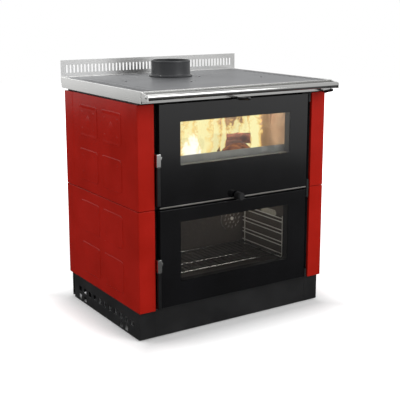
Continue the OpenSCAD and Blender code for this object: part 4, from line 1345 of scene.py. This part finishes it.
@dataclass
class SteelTop:
    """The stainless frame round the hob: its four sides, the towel rail and the screws."""

    sheet_edge: float = 0.0006
    rail_z: float = 0.842
    rail_y: float = deep(-0.062)
    plate_x: float = 0.3985
    screw_r: float = 0.005

    def rail_screw(self, side: Side) -> bpy.types.Object:
        """Models one domed screw head on the outer end of the rail."""
        head = lathe(
            f"rail_screw_{side.name.lower()}",
            [(self.screw_r, 0.0), (self.screw_r, 0.0006), (0.0042, 0.0012), (0.0024, 0.00148)],
            sides=24,
        )
        smooth(head, 30.0)
        return place_at(
            head, (side.value * self.plate_x, self.rail_y, self.rail_z), (0, 90 * side.value, 0)
        )

    def collar_screw(self, centre: Vector) -> bpy.types.Object:
        """Models one round-headed screw that holds the flue collar down."""
        head = lathe(
            "collar_screw",
            [(0.003, 0.0), (0.003, 0.0007), (0.0024, 0.0015), (0.0012, 0.00195)],
            sides=20,
        )
        smooth(head, 30.0)
        return place_at(head, tuple(centre))

    def build(self) -> None:
        """Makes the frame's pieces and ties them to the stove."""
        eased("top_frame_front", Slot.STAINLESS, SHEET_WIDE, self.sheet_edge)
        eased("top_frame_left", Slot.STAINLESS, SHEET_DEEP, self.sheet_edge)
        eased("top_frame_right", Slot.STAINLESS, SHEET_DEEP, self.sheet_edge)
        eased("splashback", Slot.STAINLESS, SPLASH_STEEL, 0.0004, 1)
        eased("towel_rail", Slot.POLISHED_STEEL, POLISHED, 0.0004, 1)
        eased("rail_brackets", Slot.STAINLESS, SHEET_DEEP, 0.0005)
        screws = [self.rail_screw(side) for side in Side]
        for angle in (90, 210, 330):
            spoke = Vector((math.cos(math.radians(angle)), math.sin(math.radians(angle)), 0))
            screws.append(self.collar_screw(Vector((-0.018, deep(0.421), 0.863)) + spoke * 0.079))
        whole = joined(screws)
        whole.name = "top_screw_heads"
        dress(whole, "stove", Slot.POLISHED_STEEL, CHROMED, stands_for=("top_screws",))


@dataclass
class Hob:
    """The ground steel cooking plate with its two lids and the cast flue collar."""

    flue: Point = (-0.018, deep(0.421), 0.857)
    flange_r: float = 0.083
    spigot_r: float = 0.075
    bore_r: float = 0.0695
    height: float = 0.062

    def collar(self) -> bpy.types.Object:
        """Models the flue collar: a flange, a fillet, a slightly waisted wall and a rolled lip."""
        r, b, h = self.spigot_r, self.bore_r, self.height
        profile = [
            (b, 0.0),
            (self.flange_r - 0.001, 0.0),
            (self.flange_r, 0.0012),
            (self.flange_r, 0.0045),
            (self.flange_r - 0.0014, 0.0058),
            (r + 0.0035, 0.0062),
            (r + 0.0012, 0.0074),
            (r - 0.0006, 0.011),
            (r - 0.0012, 0.030),
            (r - 0.0008, h - 0.009),
            (r, h - 0.006),
            (r, h - 0.003),
            (r - 0.0011, h - 0.0008),
            (r - 0.003, h),
            (b + 0.0012, h),
            (b, h - 0.0014),
        ]
        piece = lathe("flue_collar_cast", profile, sides=96, closed=True)
        smooth(piece, 40.0)
        return place_at(piece, self.flue)

    def build(self) -> None:
        """Makes the hob's pieces and ties them to their bodies."""
        for node in ("hob_plate", "hob_lid_left", "hob_lid_right"):
            plate = eased(node, Slot.GROUND_STEEL, HOB_STEEL, 0.0005)
            # Faces that don't face up, the underside, the outer edges and the walls of the slots, take the
            # sooted steel: real soot underneath over the fire, painted shade on the edges and in the slots.
            second_finish(plate, SOOTED, lambda at, n: n.z < 0.3)
        dress(self.collar(), "stove", Slot.BLACK_IRON, CAST_IRON, stands_for=("flue_collar",))


@dataclass
class GlassDoor:
    """A door faced with one sheet of ceramic glass, printed black round its window."""

    name: str
    glass_z: tuple[float, float]
    window_z: tuple[float, float]
    half_w: float = 0.3153
    window_x: float = 0.234
    thick: float = 0.005
    edge: float = 0.0009
    rope_w: float = 0.007
    rope_bend: float = 0.009

    def glass(self) -> bpy.types.Object:
        """Models the glass as one slab whose window faces are clear and whose border is printed."""
        low, high = self.glass_z
        front = deep(0.0)
        piece = start_box(
            f"{self.name}_door_glass_faced",
            (-self.half_w, front, low),
            (self.half_w, front + self.thick, high),
        )
        w, (sill, head) = self.window_x, self.window_z
        with editing(piece):
            for x in (-w, w):
                cut(piece, (x, 0, 0), (1, 0, 0))
            for z in (sill, head):
                cut(piece, (0, 0, z), (0, 0, 1))
        paint(piece, PRINT, WINDOW)
        for face in piece.data.polygons:
            inside = abs(face.center.x) < w and sill < face.center.z < head
            face.material_index = int(inside and abs(face.normal.y) > 0.9)
        return round_edges(piece, self.edge, 2)

    def rope(self) -> bpy.types.Object:
        """Models the seal: a ring of rope, pressed flat where it lies in its channel."""
        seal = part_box(f"{self.name}_door_seal")
        low, high = Vector(seal[0]), Vector(seal[1])
        middle, size = (low + high) / 2, high - low
        half_rope = self.rope_w / 2
        deselect_all()
        bpy.ops.mesh.primitive_torus_add(
            major_radius=self.rope_bend,
            minor_radius=half_rope,
            major_segments=24,
            minor_segments=14,
            rotation=(math.radians(90), math.radians(7.5), 0),
        )
        piece = settle(bpy.context.active_object)
        piece.name = f"{self.name}_door_seal_rope"
        for axis in (0, 2):
            reach = size[axis] / 2 - self.rope_bend - half_rope
            for side in (-1, 1):
                with editing(piece, "VERT"):
                    pick_vertices(piece, lambda at: at[axis] * side > 0)
                    shift = [0.0, 0.0, 0.0]
                    shift[axis] = side * reach
                    bpy.ops.transform.translate(value=shift)
        piece.scale.y = size.y / self.rope_w
        smooth(piece, 60.0)
        return place_at(piece, tuple(middle))

    def build(self) -> None:
        """Makes the door's pieces and ties them to the door and its handle."""
        body = f"{self.name}_door"
        frame_piece = eased(f"{body}_frame", Slot.BLACK_IRON, INNER_BLACK, 0.0012)
        sill = self.window_z[0]
        if self.name == "firebox":
            second_finish(
                frame_piece, FIRE_GUARD, lambda at, n: n.z > 0.9 and abs(at.z - sill) < 0.004
            )
        dress(self.rope(), body, Slot.SEAL_ROPE, ROPE, stands_for=(f"{body}_seal",))
        dress(self.glass(), body, Slot.DOOR_GLASS, stands_for=(f"{body}_glass",))
        eased(f"{self.name}_lever", Slot.POLISHED_STEEL, CHROMED, 0.0016, 3)
        eased(f"{self.name}_grip", Slot.BLACK_PLASTIC, KNOB_BLACK, 0.0018, 3)


@dataclass
class Controls:
    """The pull knobs and their rods, and the air valve on the fire door."""

    knob_r: float = 0.006
    start_t: float = -0.0349

    def knob(self, name: str, x: float, z: float, length: float, tilt: float) -> bpy.types.Object:
        """Models one pull knob: a slim black bar, a little fuller towards its rounded tip.

        Args:
            name: The piece's name.
            x: Where its rod runs.
            z: How high its rod runs.
            length: Its length along its own axis.
            tilt: How far its tip is tilted up, in degrees.

        Returns:
            The knob.
        """
        r, n = self.knob_r, length
        profile = [(0.0042, 0.0), (r - 0.0008, 0.0006), (r - 0.0003, 0.003), (r - 0.0009, n * 0.4)]
        profile += [(r - 0.0002, n * 0.75)]
        profile += [
            (r * math.cos(a), n - r + r * math.sin(a))
            for a in (math.radians(d) for d in (0, 25, 48, 68, 84))
        ]
        piece = lathe(name, profile, sides=32)
        smooth(piece, 45.0)
        return place_at(piece, (x, deep(self.start_t), z), (90 - tilt, 0, 0))

    def build(self) -> None:
        """Makes the controls and ties them to their sliding bodies."""
        air = self.knob("secondary_air_grip", -0.020, 0.814, 0.0650, 5.5)
        dress(air, "secondary_air", Slot.BLACK_PLASTIC, KNOB_BLACK, stands_for=("air_knob",))
        smoke = self.knob("bypass_grip", 0.364, 0.8153, 0.0459, 14.0)
        dress(smoke, "bypass", Slot.BLACK_PLASTIC, KNOB_BLACK, stands_for=("bypass_knob",))
        eased("air_rod", Slot.POLISHED_STEEL, CHROMED, 0.0003, 1)
        eased("bypass_rod", Slot.POLISHED_STEEL, CHROMED, 0.0003, 1)
        eased("door_air_valve", Slot.BLACK_IRON, INNER_BLACK, 0.0012)
        eased("rod_guides", Slot.BLACK_CASING, STOVE_PAINT, 0.0005)


@dataclass
class FireChamber:
    """What shows through the upper window: firebricks, grate, retainer and the fire itself."""

    inner_x: float = 0.250
    outer_x: float = 0.280
    front_t: float = 0.044
    back_t: float = 0.354
    rear_t: float = 0.384
    floor_z: float = 0.560
    roof_z: float = 0.770
    split_t: float = 0.141
    joint: float = 0.0004
    brick_edge: float = 0.0022

    def brick(self, name: str, low: Point, high: Point) -> bpy.types.Object:
        """Models one firebrick: a board whose arrises are worn round."""
        g = self.joint
        piece = start_box(name, tuple(a + g for a in low), tuple(b - g for b in high))
        return round_edges(piece, self.brick_edge, 3)

    def lining(self) -> None:
        """Makes the brick lining, board by board, and ties it to the stove."""
        z0, z1 = self.floor_z, self.roof_z
        split = self.split_t
        boards = []
        for t0, t1 in ((self.front_t, split), (split, self.back_t)):
            board = self.brick(
                "side_brick", (self.inner_x, deep(t0), z0), (self.outer_x, deep(t1), z1)
            )
            boards += [board, copy_of(board, "side_brick_twin", mirrored=True)]
        third = 2 * self.outer_x / 3
        for i in range(3):
            x0 = -self.outer_x + i * third
            low, high = (x0, deep(self.back_t), z0), (x0 + third, deep(self.rear_t), z1)
            boards.append(self.brick("back_brick", low, high))
        whole = joined(boards)
        whole.name = "firebrick_lining"
        dress(whole, "stove", Slot.FIREBRICK, BRICK, stands_for=("firebricks",))

    def log(self, name: str, length: float, radius: float, split_at: float) -> bpy.types.Object:
        """Models one split log along X: a ribbed trunk, cut flat where it was split.

        Args:
            name: The piece's name.
            length: Its length.
            radius: Its radius.
            split_at: How far from its axis the split face lies.

        Returns:
            The log, centred on the origin, with bark in its first slot and wood in its second.
        """
        deselect_all()
        bpy.ops.mesh.primitive_cylinder_add(
            vertices=26, radius=radius, depth=length, rotation=(0, math.radians(90), 0)
        )
        piece = settle(bpy.context.active_object)
        piece.name = name
        paint(piece, BARK, SPLIT_FACE)
        with editing(piece):
            for i in range(1, 14):
                cut(piece, (-length / 2 + length * i / 14, 0, 0), (1, 0, 0))
            bpy.ops.mesh.select_all(action="SELECT")
            bpy.ops.mesh.bisect(
                plane_co=(0, 0, split_at), plane_no=(0, 0.25, 1), use_fill=True, clear_outer=True
            )
            pick_faces(piece, lambda mid, n: n.z > 0.9 or abs(n.x) > 0.9)
            piece.active_material_index = 1
            bpy.ops.object.material_slot_assign()
            bpy.ops.mesh.select_all(action="SELECT")
            bpy.ops.mesh.quads_convert_to_tris()
            bpy.ops.mesh.subdivide(number_cuts=1)
        rough = bpy.data.textures.new(name + "_knots", "CLOUDS")
        rough.noise_scale = 0.05
        rough.noise_depth = 3
        apply_modifier(piece, "DISPLACE", texture=rough, strength=0.012, mid_level=0.5)
        smooth(piece, 38.0)
        return piece

    def logs(self) -> None:
        """Lays the split logs: one on end towards the door, one across it, two behind."""
        laid = [
            ("log_wedge", 0.15, 0.072, -0.030, (0.102, deep(0.172), 0.560), (180, 0, 68)),
            ("log_across", 0.175, 0.029, 0.012, (0.108, deep(0.215), 0.620), (170, -4, -45)),
            ("log_left", 0.150, 0.028, 0.014, (-0.050, deep(0.225), 0.618), (200, 6, 25)),
            ("log_back", 0.360, 0.034, 0.020, (0.020, deep(0.305), 0.600), (40, -2, 4)),
        ]
        for name, length, radius, split_at, where, turn in laid:
            piece = self.log(name, length, radius, split_at)
            place_at(piece, where, turn)
            dress(piece, "stove", None)

    def embers(self) -> None:
        """Scatters lumps of glowing char over the grate."""
        deselect_all()
        bpy.ops.mesh.primitive_ico_sphere_add(subdivisions=2, radius=0.011)
        lump = settle(bpy.context.active_object)
        with editing(lump):
            pick_faces(lump, lambda mid, n: n.z < -0.5)
            bpy.ops.transform.resize(value=(1.0, 1.0, 0.5), center_override=(0, 0, 0))
        dice = random.Random(7)
        lumps = []
        for _ in range(46):
            twin = copy_of(lump, "lump")
            twin.scale = [dice.uniform(0.7, 1.7), dice.uniform(0.7, 1.4), dice.uniform(0.5, 1.0)]
            where = (dice.uniform(-0.21, 0.16), deep(dice.uniform(0.1, 0.29)), 0.570)
            place_at(twin, where, (0, 0, dice.uniform(0, 180)))
            lumps.append(twin)
        bpy.data.objects.remove(lump)
        bed = joined(lumps)
        bed.name = "ember_bed"
        smooth(bed, 30.0)
        dress(bed, "stove", None, CHAR)

    def tongue(
        self, name: str, foot: Point, width: float, height: float, turn: float, twist: float
    ) -> bpy.types.Object:
        """Models one flame: a sheet that curls as it rises.

        Args:
            name: The piece's name.
            foot: The middle of its foot.
            width: Its width at the foot.
            height: Its height.
            turn: Its turn about the vertical, in degrees.
            twist: How far it twists from foot to tip, in degrees.

        Returns:
            The flame's sheet, with U across and V up.
        """
        deselect_all()
        bpy.ops.mesh.primitive_grid_add(
            x_subdivisions=8, y_subdivisions=22, size=1.0, calc_uvs=True
        )
        piece = bpy.context.active_object
        piece.name = name
        piece.scale = (width, height, 1.0)
        settle(piece)
        place_at(piece, (0, 0, height / 2), (90, 0, 0))
        apply_modifier(
            piece,
            "SIMPLE_DEFORM",
            deform_method="TWIST",
            deform_axis="Z",
            angle=math.radians(twist),
        )
        curl = bpy.data.textures.get("flame_curl") or bpy.data.textures.new("flame_curl", "CLOUDS")
        curl.noise_scale = 0.07
        place_at(piece, foot, (0, 0, turn))
        apply_modifier(
            piece,
            "DISPLACE",
            texture=curl,
            texture_coords="GLOBAL",
            direction="Y",
            strength=0.03,
            mid_level=0.5,
        )
        smooth(piece, 60.0)
        return piece

    def flames(self) -> None:
        """Makes the flames: a tall group on the left, thin ones between, a group on the right."""
        placed = [
            (FLAME, -0.105, 0.150, 0.085, 0.190, -30, 14),
            (FLAME, -0.070, 0.205, 0.095, 0.205, -26, -12),
            (FLAME, -0.035, 0.180, 0.095, 0.215, -38, 12),
            (FLAME, -0.002, 0.225, 0.095, 0.205, -30, -10),
            (FLAME, 0.028, 0.200, 0.070, 0.195, -36, 14),
            (FLAME, -0.085, 0.240, 0.100, 0.210, -34, 8),
            (WHITE_FLAME, -0.122, 0.115, 0.070, 0.110, -34, 12),
            (WHITE_FLAME, -0.098, 0.125, 0.055, 0.080, -30, -12),
            (FLAME, 0.028, 0.130, 0.024, 0.200, -33, 12),
            (FLAME, 0.085, 0.265, 0.070, 0.105, -33, -12),
            (FLAME, 0.130, 0.270, 0.070, 0.095, -28, 14),
            (FLAME, 0.178, 0.262, 0.075, 0.135, -36, -12),
            (FLAME, 0.180, 0.150, 0.075, 0.200, -32, 12),
            (FLAME, 0.150, 0.165, 0.050, 0.190, -34, 10),
            (FLAME, 0.205, 0.180, 0.065, 0.205, -38, -12),
        ]
        for index, (finish, x, t, width, height, turn, twist) in enumerate(placed):
            piece = self.tongue(
                f"flame_{index + 1}", (x, deep(t), 0.578), width, height, turn, twist
            )
            dress(piece, "stove", None, finish)

    def build(self) -> None:
        """Makes the fire chamber's pieces."""
        self.lining()
        eased("fire_grate", Slot.BLACK_IRON, GRATE_IRON, 0.0010)
        eased("log_retainer", Slot.GREY_STEEL, FIRE_GUARD, 0.0008)
        eased("baffle", Slot.GREY_STEEL, DULLED, 0.0010)
        keep_node("firebox_shell", SOOTED)
        keep_node("firebox_floor", GRATE_IRON)
        self.logs()
        self.embers()
        self.flames()


@dataclass
class Oven:
    """What shows through the lower window: the enamelled oven, its runners, rack and lamp."""

    boss_y: float = deep(0.3262)

    def build(self) -> None:
        """Makes the oven's pieces and ties them to the stove and the rack."""
        eased("oven_liner", Slot.OVEN_ENAMEL, ENAMEL, 0.0012)
        cover = eased("oven_vent_cover", Slot.BRIGHT_WIRE, ENAMEL, 0.0006)
        boss = self.boss_y
        # The boss, the rim and the walls of the holes take the pale plated finish and the front of the disc
        # the dark enamel: a painted highlight that makes the holes read as bright spots.
        second_finish(cover, PLATED, lambda at, n: at.y < boss or abs(n.y) < 0.9)
        eased("oven_lamp", Slot.LAMP_GLASS, LENS, 0.0009)
        keep_node("shelf_runners", PLATED)
        keep_node("oven_rack", WIRE)


@dataclass
class Casing:
    """The sheet-metal body: plinth, feet, walls, rear cover and what is bolted to them."""

    fold: float = 0.0009
    plinth_half: float = 0.3895
    plinth_rear: float = 0.562
    plinth_z: tuple[float, float] = (0.002, 0.0978)
    plinth_sheet: float = 0.0015
    plinth_flange: float = 0.020

    def plinth_back(self) -> bpy.types.Object:
        """Models the folded sheet that closes the plinth behind, so that its vents are dark."""
        low, high = self.plinth_z
        rear, reach = deep(self.plinth_rear), self.plinth_half
        piece = start_box("plinth_rear_sheet", (-reach, rear - self.plinth_sheet, low), (reach, rear, high))
        with editing(piece):
            fold = high - self.plinth_sheet
            cut(piece, (0, 0, fold), (0, 0, 1))
            pick_faces(piece, lambda mid, n: n.y < -0.9 and mid.z > fold)
            bpy.ops.mesh.extrude_region_move(
                TRANSFORM_OT_translate={"value": (0, -self.plinth_flange, 0)}
            )
        return round_edges(piece, 0.0004)

    def build(self) -> None:
        """Makes the casing's pieces and dresses those that keep their form."""
        for node in ("plinth_front", "plinth_left", "plinth_right"):
            eased(node, Slot.BLACK_CASING, STOVE_PAINT, self.fold)
        dress(self.plinth_back(), "stove", Slot.BLACK_CASING, STOVE_PAINT)
        eased("front_plate", Slot.BLACK_CASING, STOVE_PAINT, 0.0006)
        eased("firebox_door_rail", Slot.POLISHED_STEEL, DULLED, 0.0008)
        eased("rear_cover", Slot.CASING_STEEL, CASING, 0.0004, 1)
        eased("hinge_plates", Slot.BLACK_IRON, STOVE_PAINT, 0.0006)
        eased("levelling_feet", Slot.BLACK_PLASTIC, KNOB_BLACK, 0.0010)
        eased("power_gland", Slot.BLACK_PLASTIC, KNOB_BLACK, 0.0008)
        eased("ash_drawer", Slot.CASING_STEEL, CASING, 0.0006)
        for node in ("base_plate", "side_wall_left", "side_wall_right"):
            keep_node(node, CASING)
        for node in ("air_box", "hob_chamber", "smoke_ducts", "smoke_jacket"):
            keep_node(node, SOOTED)
        keep_node("latch_keepers", DULLED)


@dataclass
class Studio:
    """The floor, the soft lamps, the white surround and the camera."""

    floor_half: float = 9.0
    ambient: float = 0.42
    floor_glow: float = 0.5
    # Box round the stove inside which the floor's glow is cut to nothing: a painted shade under the stove.
    painted_shade_footprint: Point = (0.39, 0.29, 0.0)
    # The floor as metal and glass see it is painted: grey ramps by distance from the stove, dark near it
    # and white far out, a painted reflection of shade.
    painted_reflection_reach: float = 8.5
    painted_floor_reflection: tuple[tuple[float, str], ...] = (
        (0.0, "#4A4A4A"),
        (1.0, "#FFFFFF"),
        (0.082, "#515151"),
        (0.165, "#666666"),
        (0.247, "#686868"),
        (0.282, "#717171"),
        (0.329, "#818181"),
        (0.359, "#8E8E8E"),
        (0.388, "#A4A4A4"),
        (0.418, "#BABABA"),
        (0.447, "#CFCFCF"),
        (0.506, "#DADADA"),
        (0.659, "#ECECEC"),
    )
    # A darker painted ramp that reflections see behind and left of the stove: painted reflection of shade,
    # with nothing there to cast it.
    painted_dark_reflection: tuple[tuple[float, str], ...] = (
        (0.0, "#3C3C3C"), (1.0, "#F6F6F6"), (0.4, "#404040"), (0.72, "#505050"), (0.83, "#EEEEEE")
    )

    def floor(self) -> None:
        """Lays a pale floor: white to the eye, soft in the shadow, with a painted shade under and round the
        stove; in reflections it is painted grey, dark near the stove, darker behind and left of it, and
        white far out.
        """
        deselect_all()
        bpy.ops.mesh.primitive_circle_add(
            vertices=64, radius=self.floor_half, fill_type="NGON", location=(0, 0, -0.0005)
        )
        piece = settle(bpy.context.active_object)
        piece.name = "studio_floor"
        made = bpy.data.materials.new("pale_studio_floor")
        made.use_nodes = True
        tree = made.node_tree
        tree.nodes.clear()
        path = add_node(tree, "LightPath")
        matt = add_node(tree, "BsdfDiffuse", inputs={"Color": (0.93, 0.93, 0.93, 1.0)})
        place = add_node(tree, "TexCoord").outputs["Object"]
        reach = add_node(tree, "VectorMath", {"operation": "LENGTH"}, {0: place})
        # The floor glows not at all under the stove, half round it and fully from 2.5 m out: a painted
        # shade under and round the stove, on top of its real shadow.
        off = add_node(tree, "VectorMath", {"operation": "ABSOLUTE"}, {0: place})
        clear = add_node(
            tree, "VectorMath", {"operation": "SUBTRACT"}, {0: off.outputs[0], 1: self.painted_shade_footprint}
        )
        side = add_node(tree, "SeparateXYZ", inputs={0: clear.outputs[0]})
        beside = add_node(
            tree, "Math", {"operation": "MAXIMUM"}, {0: side.outputs["X"], 1: side.outputs["Y"]}
        )
        painted_shade_near_stove = add_node(
            tree,
            "MapRange",
            inputs={"Value": beside.outputs[0], 1: -0.02, 2: 0.12, 3: 0.0, 4: self.floor_glow},
        )
        far = add_node(
            tree,
            "MapRange",
            inputs={"Value": reach.outputs["Value"], 1: 1.0, 2: 2.5, 3: 0.0, 4: 1.0},
        )
        level = add_node(
            tree,
            "Math",
            {"operation": "ADD"},
            {0: painted_shade_near_stove.outputs["Result"], 1: far.outputs["Result"]},
        )
        glow = add_node(tree, "Emission", inputs={"Color": "#FFFFFF", "Strength": level.outputs[0]})
        lit = add_node(tree, "AddShader", inputs={0: matt.outputs[0], 1: glow.outputs[0]})
        # Glossy rays see the painted ramps instead of the lit floor: a painted reflection, dark grey near
        # the stove, white far out, darker still behind and left of it.
        paced = add_node(
            tree, "Math", {"operation": "DIVIDE"}, {0: reach.outputs["Value"], 1: self.painted_reflection_reach}
        )
        front = add_node(tree, "ValToRGB", {"stops": self.painted_floor_reflection}, {"Fac": paced.outputs[0]})
        painted_dark_reflection = add_node(tree, "ValToRGB", {"stops": self.painted_dark_reflection}, {"Fac": paced.outputs[0]})
        where = add_node(tree, "SeparateXYZ", inputs={0: place})
        behind = add_node(
            tree, "Math", {"operation": "SUBTRACT"}, {0: where.outputs["Y"], 1: where.outputs["X"]}
        )
        turned = add_node(
            tree, "MapRange", inputs={"Value": behind.outputs[0], 1: -0.4, 2: 0.6, 3: 0.0, 4: 1.0}
        )
        painted_reflection_tone = add_node(
            tree,
            "Mix",
            {"data_type": "RGBA"},
            {0: turned.outputs["Result"], 6: front.outputs["Color"], 7: painted_dark_reflection.outputs["Color"]},
        )
        painted_floor_reflection = add_node(tree, "Emission", inputs={"Color": painted_reflection_tone.outputs[2], "Strength": 1.0})
        plain = add_node(
            tree,
            "MixShader",
            inputs={0: path.outputs["Is Camera Ray"], 1: matt.outputs[0], 2: lit.outputs[0]},
        )
        shown = add_node(
            tree,
            "MixShader",
            inputs={0: path.outputs["Is Glossy Ray"], 1: plain.outputs[0], 2: painted_floor_reflection.outputs[0]},
        )
        add_node(tree, "OutputMaterial", inputs={"Surface": shown.outputs[0]})
        piece.data.materials.append(made)

    def surround(self) -> None:
        """Sets the world: white where the eye, metal or glass sees it, softer as light."""
        world = bpy.data.worlds.new("white_surround")
        bpy.context.scene.world = world
        world.use_nodes = True
        tree = world.node_tree
        tree.nodes.clear()
        path = add_node(tree, "LightPath")
        seen = add_node(
            tree,
            "Math",
            {"operation": "MAXIMUM"},
            {0: path.outputs["Is Camera Ray"], 1: path.outputs["Is Glossy Ray"]},
        )
        seen = add_node(
            tree,
            "Math",
            {"operation": "MAXIMUM"},
            {0: seen.outputs[0], 1: path.outputs["Is Transmission Ray"]},
        )
        soft = add_node(tree, "Background", inputs={"Color": "#FFFFFF", "Strength": self.ambient})
        white = add_node(tree, "Background", inputs={"Color": "#FFFFFF", "Strength": 1.0})
        both = add_node(
            tree, "MixShader", inputs={0: seen.outputs[0], 1: soft.outputs[0], 2: white.outputs[0]}
        )
        add_node(tree, "OutputWorld", inputs={"Surface": both.outputs[0]})

    def lamp(
        self,
        name: str,
        where: Point,
        aim: Point,
        size: float,
        watts: float,
        colour: str = "#FFFFFF",
    ) -> bpy.types.Object:
        """Hangs one square soft lamp.

        Args:
            name: The lamp's name.
            where: Its place.
            aim: The point that it faces.
            size: The length of its side.
            watts: Its power.
            colour: The colour of its light.

        Returns:
            The lamp.
        """
        light = bpy.data.lights.new(name, "AREA")
        light.shape = "SQUARE"
        light.size = size
        light.energy = watts
        light.color = srgb(colour)[:3]
        lamp = bpy.data.objects.new(name, light)
        bpy.context.scene.collection.objects.link(lamp)
        lamp.location = where
        lamp.rotation_euler = (Vector(aim) - Vector(where)).to_track_quat("-Z", "Y").to_euler()
        return lamp

    def glow(self, name: str, where: Point, radius: float, watts: float, colour: str) -> None:
        """Puts one small round light inside the stove, such as the fire's own light."""
        light = bpy.data.lights.new(name, "POINT")
        light.shadow_soft_size = radius
        light.energy = watts
        light.color = srgb(colour)[:3]
        lamp = bpy.data.objects.new(name, light)
        bpy.context.scene.collection.objects.link(lamp)
        lamp.location = where
        lamp.visible_camera = False
        lamp.visible_transmission = False
        lamp.visible_glossy = False

    def lamps(self) -> None:
        """Hangs the studio lamps and the lights of the fire and the oven."""
        self.lamp("key", (1.3, -3.2, 2.6), (0, 0, 0.45), 2.2, 84.0)
        self.lamp("left_fill", (-2.4, 1.5, 1.9), (0, 0, 0.45), 1.7, 23.0)
        self.lamp("overhead", (0.0, 0.3, 3.4), (0, 0, 0.8), 2.6, 30.0)
        self.glow("fire_left", (-0.10, deep(0.16), 0.70), 0.03, 1.2, "#FFEAD0")
        self.glow("fire_right", (0.12, deep(0.18), 0.70), 0.03, 1.2, "#FFEAD0")
        self.glow("oven_bulb", (0.12, deep(0.14), 0.39), 0.012, 0.26, "#F6F1E6")
        self.glow("vent_glint", (0.200, deep(0.285), 0.287), 0.006, 0.03, "#FFF6E6")
        self.glow("oven_fill", (-0.02, deep(0.07), 0.39), 0.05, 0.45, "#F2EFE8")

    def camera(self) -> None:
        """Stands the camera where the photograph was taken from, tilted down to the stove."""
        view = bpy.data.cameras.new("photo_camera")
        view.lens = 75.05
        view.sensor_width = 36.0
        view.shift_y = -0.08
        stand = bpy.data.objects.new("photo_camera", view)
        bpy.context.scene.collection.objects.link(stand)
        stand.location = (-1.6723, -2.5902, 1.1401)
        stand.rotation_euler = (math.radians(78.681), 0, math.radians(-32.882))
        bpy.context.scene.camera = stand

    def build(self) -> None:
        """Makes the floor, the light and the camera."""
        self.floor()
        self.surround()
        self.lamps()
        self.camera()
        bpy.context.scene.view_settings.view_transform = "Standard"


def main() -> None:
    """Builds the stove's sub-assemblies in order, then the studio round it."""
    logging.basicConfig(level=logging.INFO, format="%(message)s")
    fire_door = GlassDoor("firebox", (0.4615, 0.808), (0.598, 0.746))
    oven_door = GlassDoor("oven", (0.106, 0.449), (0.190, 0.402))
    assemblies = (
        CeramicSides(),
        Casing(),
        SteelTop(),
        Hob(),
        fire_door,
        oven_door,
        Controls(),
        FireChamber(),
        Oven(),
        Studio(),
    )
    for assembly in assemblies:
        assembly.build()
        LOG.info("%s is built", type(assembly).__name__)


if __name__ == "__main__":
    main()
